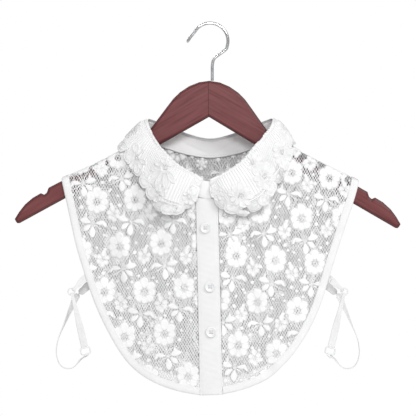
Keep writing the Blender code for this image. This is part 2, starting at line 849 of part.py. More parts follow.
def front_leaf_point(side, share, row_share):
    """A point between a leaf's short front edge and the fall's first or last section."""
    route = LEFT_FRONT_EDGE if side == "left" else RIGHT_FRONT_EDGE
    station = 0.0 if side == "left" else float(len(NECK_STATIONS) - 1)
    x, z = spline_point(route, row_share * (len(route) - 1))
    lift = FALL_LIFT + LEAF_TOP_LIFT * (1.0 - row_share)
    top_depth, edge_depth = LEAF_DEPTHS
    least_depth = top_depth + (edge_depth - top_depth) * row_share
    border = Vector((x, min(cloth_depth(x, z, "front") - lift, least_depth), z))
    border.z += FALL_RISE * (1.0 - row_share) ** 3
    return border.lerp(fall_section(station, row_share), share)


def clear_of_cloth(point):
    """A point of the fall kept clear of the panels."""
    below = shoulder_height(point.x) - point.z
    if below < -FALL_LIFT:
        return point
    if point.y < -WRAP_FLAT:
        depth = cloth_depth(point.x, point.z, "front") - FALL_LIFT
        return Vector((point.x, min(point.y, depth), point.z))
    if point.y > WRAP_FLAT:
        depth = cloth_depth(point.x, point.z, "back") + FALL_LIFT
        return Vector((point.x, max(point.y, depth), point.z))
    return Vector((point.x, point.y, max(point.z, shoulder_height(point.x) + FALL_LIFT)))


def make_fall(guipure):
    grid = []
    for i in range(FALL_STATIONS + 1):
        share = i / FALL_STATIONS
        wave = abs(math.sin(math.pi * SCALLOPS * share))
        column = []
        for j in range(FALL_ROWS + 1):
            row_share = j / FALL_ROWS
            length = 1.0 - (1.0 - wave) * SCALLOP_SHARE * row_share ** 4
            column.append(clear_of_cloth(fall_point(share, row_share * length)))
        grid.append(column)
    normals = grid_normals(grid, Vector((0.0, 1.0, 0.2)))
    outer = []
    for i, (column, row) in enumerate(zip(grid, normals)):
        wave = abs(math.sin(math.pi * SCALLOPS * i / FALL_STATIONS))
        raised = []
        for j, (point, normal) in enumerate(zip(column, row)):
            row_share = j / FALL_ROWS
            pad = PAD_HEIGHT * wave * smooth_step((row_share - 0.6) / 0.2)
            pad *= smooth_step((1.02 - row_share) / 0.12)
            petal = PAD_HEIGHT * abs(math.cos(math.pi * SCALLOPS / 2 * i / FALL_STATIONS))
            petal *= smooth_step(row_share / 0.25) * smooth_step((0.66 - row_share) / 0.2)
            raised.append(point + normal * (FALL_WALL + pad + petal))
        outer.append(raised)
    return wall("collar_fall", outer, grid, guipure)


def sagging_line(ends, sag, across):
    """The height of a line across the placket that sags in its middle."""
    return ends[0] + (ends[1] - ends[0]) * across - sag * math.sin(math.pi * across)


def placket_grid(move_out, inset=0.0):
    """A face of the placket, by columns, moved out of the panels' own face."""
    columns = []
    for i in range(PLACKET_COLUMNS + 1):
        across = i / PLACKET_COLUMNS
        top_z = sagging_line(PLACKET_TOP_ENDS, PLACKET_TOP_SAG, across)
        bottom_z = sagging_line(PLACKET_BOTTOM_ENDS, PLACKET_BOTTOM_SAG, across)
        column = []
        for j in range(PLACKET_ROWS + 1):
            z = top_z + (bottom_z - top_z) * j / PLACKET_ROWS
            x = (placket_edge(z, 1) + inset) * (1 - across) + (placket_edge(z, 2) - inset) * across
            depth = cloth_depth(x, z, "front")
            fall = top_z - z
            depth += (PLACKET_TOP_DEPTH - depth) * (1.0 - smooth_step(fall / NECK_BLEND))
            column.append(Vector((x, depth - move_out, z)))
        columns.append(column)
    return columns


def make_placket(cotton):
    front = placket_grid(PLACKET_PROUD)
    behind = placket_grid(PLACKET_PROUD - PLACKET_WALL)
    wall("button_placket", front, behind, cotton)
    front = placket_grid(PLACKET_PROUD - PLACKET_WALL - SEAM_GAP, UNDER_PLACKET_INSET)
    behind = placket_grid(PLACKET_PROUD - PLACKET_WALL - SEAM_GAP - WALL, UNDER_PLACKET_INSET)
    wall("under_placket", front, behind, cotton)


def make_button(number, x, z, resin):
    """A turned button with a rim, lying on the placket."""
    bm = bmesh.new()
    points = [bm.verts.new((radius, 0.0, height)) for radius, height in BUTTON_PROFILE]
    for a, b in zip(points, points[1:]):
        bm.edges.new((a, b))
    bmesh.ops.spin(bm, geom=bm.verts[:] + bm.edges[:], cent=(0, 0, 0), axis=(0, 0, 1),
                   angle=math.tau, steps=BUTTON_STEPS, use_merge=True)
    bmesh.ops.remove_doubles(bm, verts=bm.verts, dist=0.01)
    mesh = finished_mesh(f"button_{number}", bm)
    button = new_object(f"button_{number}", mesh, resin)
    reach = BUTTON_RADIUS
    slope_z = cloth_depth(x, z + reach, "front") - cloth_depth(x, z - reach, "front")
    slope_x = cloth_depth(x + reach, z, "front") - cloth_depth(x - reach, z, "front")
    normal = Vector((slope_x / (2 * reach), -1.0, slope_z / (2 * reach))).normalized()
    surface = Vector((x, cloth_depth(x, z, "front") - PLACKET_PROUD, z))
    button.rotation_mode = "QUATERNION"
    button.rotation_quaternion = normal.to_track_quat("Z", "Y")
    button.location = (surface + normal * BUTTON_SEAT) * MM


def hairpin(start, turn, plane, width, narrow, thickness, spread, end_across=None):
    """A band that runs from start to turn, round a wire there, and back behind itself."""
    way = turn - start
    along = way.normalized()
    across = along.cross(plane).normalized()
    end_across = end_across or across
    end_width = width / abs(end_across.dot(across))
    off = RING_WIRE / 2 + SEAM_GAP + RING_SLACK + thickness / 2

    def layer(share, face):
        lift = spread + (off - spread) * smooth_step(share / HAIRPIN_STRAIGHT)
        size = width + (narrow - width) * smooth_step((share - 0.3) / 0.6)
        return start + way * share + plane * (lift * face), across, size

    stations = [layer(share, -1.0) for share in HAIRPIN_SHARES]
    for i in range(1, HAIRPIN_TURN_STEPS):
        angle = math.pi * i / HAIRPIN_TURN_STEPS
        place = turn + along * off * math.sin(angle) - plane * off * math.cos(angle)
        stations.append((place, across, narrow))
    stations += [layer(share, 1.0) for share in reversed(HAIRPIN_SHARES)]
    for i in (0, -1):
        stations[i] = (stations[i][0], end_across, end_width)
    return stations


def bound_edge(face, side, height):
    """The point of the bound edge at a height, and the way the edge runs downward there."""
    route = outline_points(face, side)
    fine = 40
    places = [spline_point(route, i / fine) for i in range(OUTLINE_CORNER * fine)]
    index = min(range(1, len(places)), key=lambda i: abs(places[i][1] - height))
    (x, z), (before_x, before_z) = places[index], places[index - 1]
    depth = cloth_depth(x, z, face)
    depth -= math.copysign(WALL / 2, depth)
    way = Vector((x - before_x, 0.0, z - before_z)).normalized()
    return Vector((x, depth, z)), way


def make_straps(side, ring_x, ring_z, slider_x, slider_z, elastic, resin):
    out = -1.0 if side == "left" else 1.0
    outward = Vector((out, 0.0, 0.0))
    back = Vector((0.0, 1.0, 0.0))
    edge, edge_way = bound_edge("front", side, TAB_HEIGHT)
    ring = Vector((ring_x, edge.y, ring_z))
    slider = Vector((slider_x, edge.y, slider_z))
    steps = 20
    circle = []
    for i in range(steps):
        angle = math.tau * i / steps
        circle.append(ring + Vector((math.cos(angle), 0.0, math.sin(angle))) * RING_RADIUS)
    wire_mesh(f"strap_ring_{side}", circle, RING_WIRE / 2, 1, resin, ring=True)

    start = edge + outward * STRAP_SEAT
    turn = ring - (ring - start).normalized() * RING_RADIUS * RING_TURN
    band = hairpin(start, turn, back, STRAP_WIDTH, NARROW_STRAP, ELASTIC, LAYER_SPREAD, edge_way)
    ribbon(f"strap_tab_{side}", band, ELASTIC, elastic)

    to_slider = (slider - ring).normalized()
    down = ring + to_slider * RING_RADIUS * RING_TURN
    end = slider - to_slider * (SLIDER_HALF_HEIGHT + SLIDER_WIRE / 2 + SEAM_GAP)
    band = hairpin(end, down, back, STRAP_WIDTH, NARROW_STRAP, ELASTIC, LAYER_SPREAD)
    ribbon(f"strap_double_{side}", band, ELASTIC, elastic)

    across = to_slider.cross(back).normalized()
    corners = (
        (-1, -1), (-0.35, -1), (0.35, -1), (1, -1), (1, 0),
        (1, 1), (0.35, 1), (-0.35, 1), (-1, 1), (-1, 0),
    )
    frame = [slider + across * SLIDER_HALF_WIDTH * a + to_slider * SLIDER_HALF_HEIGHT * b
             for a, b in corners]
    wire_mesh(f"strap_slider_{side}", frame, SLIDER_WIRE / 2, 1, resin, ring=True)

    stations = []
    flat = Vector((1.0, 0.0, -LOOP_LEAN * out))
    for along, z, depth, turned in LOOP_ROUTE:
        point = Vector((slider_x + out * along, depth, z))
        stations.append((point, flat * (1.0 - turned) + back * turned, STRAP_WIDTH))
    edge, edge_way = bound_edge("back", side, LOOP_END_HEIGHT)
    end = edge + outward * STRAP_SEAT
    before = stations[-1][0]
    stations.append((before.lerp(end, 0.5), edge_way, STRAP_WIDTH))
    stations.append((end, edge_way, STRAP_WIDTH * LOOP_END_SKEW))
    ribbon(f"strap_loop_{side}", stations, ELASTIC, elastic)


def main():
    lace = material("ivory white lace", (0.86, 0.86, 0.87), 0.75)
    guipure = material("white guipure lace", (0.90, 0.90, 0.91), 0.7)
    cotton = material("white cotton", (0.88, 0.88, 0.89), 0.8)
    tape = material("white bias tape", (0.90, 0.90, 0.91), 0.65)
    elastic = material("white elastic", (0.84, 0.84, 0.85), 0.7)
    resin = material("white resin", (0.88, 0.88, 0.88), 0.3)
    wood = material("varnished mahogany", (0.13, 0.025, 0.022), 0.3)
    steel = material("chromed steel", (0.75, 0.75, 0.76), 0.15, 1.0)

    make_hanger(wood, steel)
    before = Vector((0.0, -1.0, 0.0))
    behind = Vector((0.0, 1.0, 0.0))
    for side in ("left", "right"):
        grid = panel_grid("front", side)
        panel(f"front_{side}", grid, before, lace)
        binding(f"binding_front_{side}", grid, before, tape)
    left, right = panel_grid("back", "left"), panel_grid("back", "right")
    grid = left[::-1] + right[1:]
    panel("back", grid, behind, lace)
    binding("binding_back", grid, behind, tape, both_sides=True)
    make_stand(cotton)
    make_fall(guipure)
    make_placket(cotton)
    for number, (x, z) in enumerate(BUTTONS, start=1):
        make_button(number, x, z, resin)
    for row in STRAPS:
        make_straps(*row, elastic, resin)


for old in list(bpy.data.objects):
    bpy.data.objects.remove(old, do_unlink=True)
parts = bpy.data.collections.new("lace false collar on a hanger")
bpy.context.scene.collection.children.link(parts)
main()
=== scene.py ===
import json
import math

import bpy
import numpy as np
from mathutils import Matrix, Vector
from mathutils.bvhtree import BVHTree

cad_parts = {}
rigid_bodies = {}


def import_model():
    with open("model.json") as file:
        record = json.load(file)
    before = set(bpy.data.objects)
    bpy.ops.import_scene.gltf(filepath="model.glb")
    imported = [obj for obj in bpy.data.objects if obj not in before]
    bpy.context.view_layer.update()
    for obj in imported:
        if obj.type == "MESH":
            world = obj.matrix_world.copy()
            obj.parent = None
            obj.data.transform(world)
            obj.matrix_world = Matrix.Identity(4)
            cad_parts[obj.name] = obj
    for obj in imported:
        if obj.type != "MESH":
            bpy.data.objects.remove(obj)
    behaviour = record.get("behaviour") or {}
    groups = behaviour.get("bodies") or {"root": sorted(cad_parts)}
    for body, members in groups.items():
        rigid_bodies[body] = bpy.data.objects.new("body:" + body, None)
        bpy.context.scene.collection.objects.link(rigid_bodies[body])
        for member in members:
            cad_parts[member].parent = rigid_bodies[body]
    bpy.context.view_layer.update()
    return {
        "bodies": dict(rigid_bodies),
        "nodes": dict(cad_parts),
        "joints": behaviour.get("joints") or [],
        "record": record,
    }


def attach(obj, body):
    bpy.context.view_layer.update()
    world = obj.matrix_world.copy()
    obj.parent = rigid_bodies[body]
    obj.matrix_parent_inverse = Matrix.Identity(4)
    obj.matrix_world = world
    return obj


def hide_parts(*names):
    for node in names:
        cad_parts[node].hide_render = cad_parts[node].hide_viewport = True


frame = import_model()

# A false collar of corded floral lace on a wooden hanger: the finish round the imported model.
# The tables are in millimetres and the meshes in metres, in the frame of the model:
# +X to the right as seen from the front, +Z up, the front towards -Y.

MM = 0.001

# Camera and light
PHOTO_MIDDLE = (-2.54, -211.8)
PHOTO_WIDTH = 480.5
CAMERA_DISTANCE = 3000.0
SENSOR = 36.0
FLOOR_HEIGHT = -1200.0
FLOOR_SIZE = 5000.0
ROOM_STRENGTH = 0.53
KEY_POWER = 28.0
FRONT_POWER = 25.0
BACK_POWER = 18.0

# Cloth, as the model's own form has it
BAR_HALF_THICKNESS = 6.0
BAR_EDGE_ROUNDING = 3.0
WALL = 1.2
SEAM_GAP = 0.3
WRAP_FLAT = BAR_HALF_THICKNESS - BAR_EDGE_ROUNDING
WRAP_RADIUS = BAR_EDGE_ROUNDING + 1.4 + WALL
SHOULDER_SLOPE_COSINE = 0.88
WRAP_DROP = WRAP_RADIUS / SHOULDER_SLOPE_COSINE
WRAP_LENGTH = WRAP_FLAT + WRAP_RADIUS * math.pi / 2
WRAP_EXTRA = WRAP_LENGTH - WRAP_DROP
SHOULDER_LINE = np.array((
    # distance from the middle, left height, right height
    (55.0, -103.0, -103.0),
    (70.0, -118.5, -118.5),
    (83.0, -130.2, -130.8),
    (92.0, -137.4, -137.6),
    (106.0, -146.4, -147.0),
    (124.0, -155.6, -156.4),
    (136.0, -161.6, -162.4),
    (157.0, -170.8, -172.6),
    (172.5, -177.8, -180.6),
))
OUTLINE = np.array((
    # left x, left z, right x, right z of the bound edge, from the shoulder's tip to the placket
    (-171.8, -177.5, 172.0, -180.4),
    (-167.8, -196.0, 167.2, -198.5),
    (-163.6, -214.5, 161.2, -217.0),
    (-159.6, -233.5, 154.0, -238.5),
    (-154.2, -257.0, 147.0, -260.0),
    (-147.0, -281.0, 140.4, -281.0),
    (-139.3, -305.0, 133.2, -305.0),
    (-129.6, -330.0, 124.4, -330.0),
    (-118.0, -354.0, 112.8, -354.0),
    (-104.2, -377.5, 97.4, -377.5),
    (-91.5, -393.5, 83.0, -393.5),
    (-76.0, -406.0, 68.6, -406.4),
    (-57.5, -415.4, 52.0, -415.0),
    (-36.0, -422.2, 33.0, -421.3),
    (-12.2, -426.4, 14.3, -425.4),
))
BINDING_WIDTH = 9.0
BINDING_TAPE = 0.8
BACK_HEM_RISE = 15.0
BACK_WIDTH_SCALE = 0.985
BACK_CUT_TOP = -184.0
BACK_CUT_LENGTH = 242.0
BACK_NARROWING_LENGTH = 48.4
BULGE = np.array((
    # height, front depth beyond the shoulder, back depth, half width
    (-430.0, 15.0, 11.0, 88.0),
    (-340.0, 17.0, 13.0, 84.0),
    (-260.0, 20.0, 17.0, 80.0),
    (-205.0, 25.0, 22.0, 76.0),
    (-100.0, 25.0, 23.0, 76.0),
))
BULGE_START = 30.0
FOLDS = (
    # top x, top z, bottom x, bottom z, half width, height outward
    (38.0, -285.0, 66.0, -400.0, 9.0, -4.5),
    (56.0, -262.0, 82.0, -350.0, 11.0, 2.6),
    (22.0, -300.0, 40.0, -395.0, 8.0, 2.4),
    (-108.0, -200.0, -88.0, -318.0, 10.0, 2.8),
    (-128.0, -215.0, -108.0, -330.0, 9.0, -2.2),
    (-52.0, -300.0, -70.0, -395.0, 10.0, 2.0),
    (118.0, -205.0, 104.0, -300.0, 10.0, 2.2),
    (-62.0, -225.0, -44.0, -300.0, 12.0, -1.8),
    (70.0, -225.0, 50.0, -275.0, 12.0, 1.6),
)
NECK_STATIONS = np.array((
    # fold x, fold y, fold z, seam x, seam y, seam z
    (-16.4, -37.2, -176.8, -16.9, -33.0, -198.6),
    (-35.0, -33.8, -166.2, -38.0, -30.4, -187.0),
    (-49.0, -28.6, -153.6, -55.0, -25.6, -173.0),
    (-58.6, -22.0, -140.6, -68.0, -19.4, -157.5),
    (-67.2, -13.4, -127.0, -77.8, -14.0, -142.4),
    (-71.0, -7.6, -118.4, -82.8, -8.6, -133.2),
    (-71.8, 0.0, -113.6, -84.2, 0.0, -130.6),
    (-70.4, 7.6, -112.0, -82.8, 8.6, -132.6),
    (-65.4, 14.0, -113.4, -76.6, 14.4, -136.0),
    (-48.0, 24.6, -119.6, -56.0, 23.0, -141.4),
    (-25.0, 31.6, -128.8, -29.0, 29.0, -149.6),
    (0.0, 34.0, -134.0, 0.0, 31.0, -153.6),
    (25.0, 31.6, -128.8, 29.0, 29.0, -149.6),
    (48.0, 24.6, -119.6, 56.0, 23.0, -141.4),
    (65.4, 14.0, -113.2, 76.6, 14.4, -136.2),
    (70.4, 7.6, -111.6, 82.8, 8.6, -133.0),
    (72.0, 0.0, -112.6, 84.2, 0.0, -131.0),
    (71.2, -7.6, -116.6, 82.8, -8.6, -133.6),
    (67.6, -13.4, -123.6, 77.8, -14.0, -141.6),
    (60.0, -21.4, -132.6, 68.0, -19.4, -155.0),
    (49.4, -28.4, -145.0, 56.0, -25.6, -169.5),
    (34.0, -34.2, -162.4, 37.0, -30.6, -186.0),
    (8.6, -38.0, -179.0, 8.9, -33.4, -200.2),
))
LAST_STATION = len(NECK_STATIONS) - 1
LEFT_SHOULDER_STATION = 6
RIGHT_SHOULDER_STATION = 16
NECK_BLEND = 25.0

# Lace panels
LACE_DEPTH = 0.6
LACE_UNDER_BINDING = 3.0
# strand pitch, row height and half the width of a thread
FRONT_NET = (3.0, 2.5, 0.56)
BACK_NET = (3.35, 2.85, 0.56)
OPEN_BAND = (6.0, 12.0)
OPEN_BAND_THREAD = 0.6
LEFT_UNITS = (
    # flower x, flower z, whether its spray leans to the left, size
    (-130.7, -204.9, True, 1.0),
    (-86.9, -202.6, True, 1.0),
    (-38.0, -203.0, True, 0.95),
    (-56.8, -253.4, False, 1.0),
    (-104.5, -256.9, False, 1.0),
    (-9.0, -254.0, False, 1.0),
    (-148.0, -262.0, False, 0.9),
    (-75.8, -308.8, True, 1.0),
    (-30.3, -304.2, True, 0.95),
    (-122.0, -308.8, True, 1.0),
    (-52.7, -356.9, False, 1.0),
    (-99.0, -360.8, False, 1.0),
    (-71.8, -409.0, True, 1.0),
    (-25.6, -405.9, True, 1.0),
    (-106.5, -154.0, False, 0.95),
    (-150.4, -160.0, False, 0.95),
)
RIGHT_UNITS = (
    # flower x, flower z, whether its spray leans to the left, size
    (104.9, -224.5, False, 1.0),
    (57.5, -216.4, False, 1.0),
    (152.2, -224.0, False, 0.95),
    (18.0, -219.0, False, 0.95),
    (74.8, -273.0, True, 1.0),
    (29.8, -267.3, True, 1.0),
    (120.5, -276.0, True, 0.95),
    (100.2, -331.0, False, 1.0),
    (54.0, -321.0, False, 0.95),
    (10.0, -318.0, False, 1.0),
    (32.1, -370.0, True, 1.0),
    (76.0, -380.0, True, 1.0),
    (137.2, -178.0, True, 0.95),
    (94.0, -172.0, True, 0.95),
    (50.0, -422.0, False, 1.0),
)
SHOULDER_FLOWERS = {
    # x, height and size of single small flowers near the shoulder
    "left": ((-127.0, -166.0, 0.9),),
    "right": ((115.0, -160.0, 0.95), (99.0, -146.0, 0.8), (152.0, -172.0, 0.8)),
}
BACK_COLUMN_STEP = 47.5
BACK_ROW_STEP = 50.0
BACK_ZIGZAG = 9.0


def smooth_step(value):
    value = np.clip(value, 0.0, 1.0)
    return value * value * (3.0 - 2.0 * value)


def spline(points, places):
    """Points of the smooth curve through the given ones, at places counted in points."""
    points = np.asarray(points, float)
    last = len(points) - 1
    places = np.clip(np.asarray(places, float), 0.0, last)
    index = np.minimum(places.astype(int), last - 1)
    t = (places - index)[..., None]
    a = points[np.maximum(index - 1, 0)]
    b, c = points[index], points[index + 1]
    d = points[np.minimum(index + 2, last)]
    return 0.5 * (2 * b + (c - a) * t + (2 * a - 5 * b + 4 * c - d) * t ** 2
                  + (3 * b - a - 3 * c + d) * t ** 3)


def even(points, spacing, closed=False):
    """Points of a polyline, evenly spaced at about the given distance."""
    points = np.asarray(points, float)
    if closed:
        points = np.vstack((points, points[:1]))
    steps = np.linalg.norm(np.diff(points, axis=0), axis=1)
    along = np.concatenate(([0.0], np.cumsum(steps)))
    count = max(int(round(along[-1] / spacing)), 2)
    wanted = np.linspace(0.0, along[-1], count + 1)
    found = np.column_stack([np.interp(wanted, along, points[:, i]) for i in range(points.shape[1])])
    return found[:-1] if closed else found


def shoulder_height(x):
    """The height of the cloth's top line over the bar."""
    left = np.interp(np.abs(x), SHOULDER_LINE[:, 0], SHOULDER_LINE[:, 1])
    right = np.interp(np.abs(x), SHOULDER_LINE[:, 0], SHOULDER_LINE[:, 2])
    return np.where(np.asarray(x) < 0, left, right)


def fold_height(x, z):
    """How far the folds lift the front outward at a place."""
    lift = np.zeros(np.broadcast(x, z).shape)
    for top_x, top_z, bottom_x, bottom_z, half_width, height in FOLDS:
        share = (top_z - z) / (top_z - bottom_z)
        middle = top_x + share * (bottom_x - top_x)
        fade = smooth_step(share / 0.3) * smooth_step((1.15 - share) / 0.3)
        lift = lift + height * fade * np.exp(-(((x - middle) / half_width) ** 2))
    return lift


def cloth_depth(x, z, face):
    """The depth of the outer face of the cloth, in front or behind the bar."""
    below = np.maximum(shoulder_height(x) - z, 0.0)
    reach = np.minimum(below * SHOULDER_SLOPE_COSINE, WRAP_RADIUS)
    wrap = WRAP_FLAT + np.sqrt(WRAP_RADIUS ** 2 - (WRAP_RADIUS - reach) ** 2)
    bulge = np.interp(z, BULGE[:, 0], BULGE[:, 1 if face == "front" else 2])
    half_width = np.interp(z, BULGE[:, 0], BULGE[:, 3])
    depth = wrap + bulge * np.exp(-((x / half_width) ** 2)) * smooth_step(below / BULGE_START)
    if face == "front":
        return -(depth + fold_height(x, z))
    return depth + 0.5 * fold_height(-x, z)


def seam_line(face):
    """The neck seam of a face as rows of x, y, z, by rising x."""
    seam = NECK_STATIONS[:, 3:]
    if face == "back":
        return spline(seam, np.linspace(LEFT_SHOULDER_STATION, RIGHT_SHOULDER_STATION, 121))
    left = spline(seam, np.linspace(LEFT_SHOULDER_STATION, 0, 81))
    right = spline(seam, np.linspace(LAST_STATION, RIGHT_SHOULDER_STATION, 81))
    return np.vstack((left, right))


SEAMS = {face: seam_line(face) for face in ("front", "back")}


def neck_shift(x, z, face):
    """How far the cloth near the neck seam is drawn to the seam's own depth."""
    seam = SEAMS[face]
    seam_z = np.interp(x, seam[:, 0], seam[:, 2])
    at_seam = np.interp(x, seam[:, 0], seam[:, 1] - cloth_depth(seam[:, 0], seam[:, 2], face))
    within = smooth_step((84.0 - np.abs(x)) / 4.0)
    return at_seam * within * (1.0 - smooth_step((seam_z - z) / NECK_BLEND))


def cloth_point(x, w, face):
    """A point of the cloth's outer face from its place on the flat chart.

    The chart's height is the height below the shoulder's turn, and above it the length
    of cloth that goes over the bar.
    """
    sign = -1.0 if face == "front" else 1.0
    top = shoulder_height(x)
    along = top - w + WRAP_EXTRA
    turned = np.clip((along - WRAP_FLAT) / WRAP_RADIUS, 0.0, math.pi / 2)
    z = np.where(along < WRAP_LENGTH, top - WRAP_DROP * (1.0 - np.cos(turned)), w)
    y = cloth_depth(x, z, face) + neck_shift(x, z, face)
    y = np.where(along < WRAP_FLAT, sign * np.maximum(along, 0.0), y)
    return np.stack(np.broadcast_arrays(x, y, z), axis=-1)


def cloth_normal(x, w, face, step=0.5):
    """The outward unit normal of the cloth at a place on the chart."""
    across = cloth_point(x + step, w, face) - cloth_point(x - step, w, face)
    upward = cloth_point(x, w + step, face) - cloth_point(x, w - step, face)
    normal = np.cross(across, upward)
    normal /= np.maximum(np.linalg.norm(normal, axis=-1, keepdims=True), 1e-9)
    return normal if face == "front" else -normal


def laid(points, face, depth=LACE_DEPTH):
    """Chart points (x, height on the chart, height over the lace) on the cloth's own form."""
    x, w, h = points[:, 0], points[:, 1], points[:, 2]
    return cloth_point(x, w, face) + cloth_normal(x, w, face) * (h - depth)[:, None]


def chart_height(x, z):
    """The height on the chart of a point of the cloth near the shoulder."""
    top = shoulder_height(x)
    below = np.maximum(top - z, 0.0)
    turned = np.arccos(np.clip(1.0 - below / WRAP_DROP, 0.0, 1.0))
    over = top + WRAP_EXTRA - WRAP_FLAT - WRAP_RADIUS * turned
    return np.where(below < WRAP_DROP, over, z)


PLACKET_LINES = np.array((
    # height, left edge x, right edge x
    (-430.0, -11.8, 14.4),
    (-310.0, -14.2, 11.4),
    (-199.0, -16.6, 8.6),
))


def placket_edge(z, side):
    """The x of the placket's left or right edge at a height."""
    column = 1 if side == "left" else 2
    return np.interp(z, PLACKET_LINES[:, 0], PLACKET_LINES[:, column])


def outline_rows(face, side):
    """The bound edge of one half; the back's is a little narrower and shorter."""
    columns = (0, 1) if side == "left" else (2, 3)
    rows = OUTLINE[:, columns].copy()
    if face == "back":
        drop = np.clip((BACK_CUT_TOP - rows[:, 1]) / BACK_CUT_LENGTH, 0.0, 1.0)
        narrowed = smooth_step(drop * BACK_CUT_LENGTH / BACK_NARROWING_LENGTH)
        rows[:, 0] *= 1.0 - (1.0 - BACK_WIDTH_SCALE) * narrowed
        rows[:, 1] += BACK_HEM_RISE * drop
    return rows


def bound_outline(face, side):
    """The bound edge of one half as fine points, from the shoulder's tip to the middle."""
    rows = outline_rows(face, side)
    if face == "back":
        rows[-1, 0] = 0.0
    fine = spline(rows, np.linspace(0, len(rows) - 1, 8 * len(rows)))
    top = np.array([[fine[0, 0], chart_height(fine[0, 0], fine[0, 1])]])
    return even(np.vstack((top, fine[1:])), 2.0)


def moved_in(points, distance, side):
    """An outline moved in towards the garment's middle."""
    turn = 1.0 if side == "left" else -1.0
    along = np.gradient(points, axis=0)
    along /= np.linalg.norm(along, axis=1, keepdims=True)
    return points + np.column_stack((-along[:, 1], along[:, 0])) * distance * turn


def panel_chart(face, side, inset):
    """The flat cut of a half panel as a polygon on the chart."""
    edge = moved_in(bound_outline(face, side), inset, side)
    tip_x = edge[0, 0]
    edge[0, 1] = shoulder_height(tip_x) + WRAP_EXTRA
    seam = SEAMS[face]
    half = seam[seam[:, 0] < 0] if side == "left" else seam[seam[:, 0] > 0][::-1]
    if face == "front":
        half = half[np.abs(half[:, 0]) > 8.0]
    neck_w = chart_height(half[:, 0], half[:, 2]) - SEAM_GAP
    neck = np.column_stack((half[:, 0], neck_w))
    shoulder_x = np.linspace(neck[0, 0], tip_x, 60)
    shoulder = np.column_stack((shoulder_x, shoulder_height(shoulder_x) + WRAP_EXTRA))
    if face == "front":
        heights = np.linspace(edge[-1, 1], neck[-1, 1], 40)
        gap = -SEAM_GAP if side == "left" else SEAM_GAP
        middle = np.column_stack((placket_edge(heights, side) + gap, heights))
    else:
        middle = np.array([[0.0, edge[-1, 1]], [0.0, neck[-1, 1]]])
    return np.vstack((shoulder, edge[1:-1], middle, neck[::-1][1:-1]))


def inside_polygon(points, polygon):
    """Whether each point lies in the polygon."""
    found = np.zeros(len(points), bool)
    x0, y0 = polygon[:, 0], polygon[:, 1]
    x1, y1 = np.roll(x0, -1), np.roll(y0, -1)
    rise = np.where(y1 == y0, 1e-9, y1 - y0)
    for start in range(0, len(points), 4000):
        x = points[start:start + 4000, 0][:, None]
        y = points[start:start + 4000, 1][:, None]
        crossed = ((y0 > y) != (y1 > y)) & (x < x0 + (y - y0) * (x1 - x0) / rise)
        found[start:start + 4000] = np.sum(crossed, axis=1) % 2 == 1
    return found


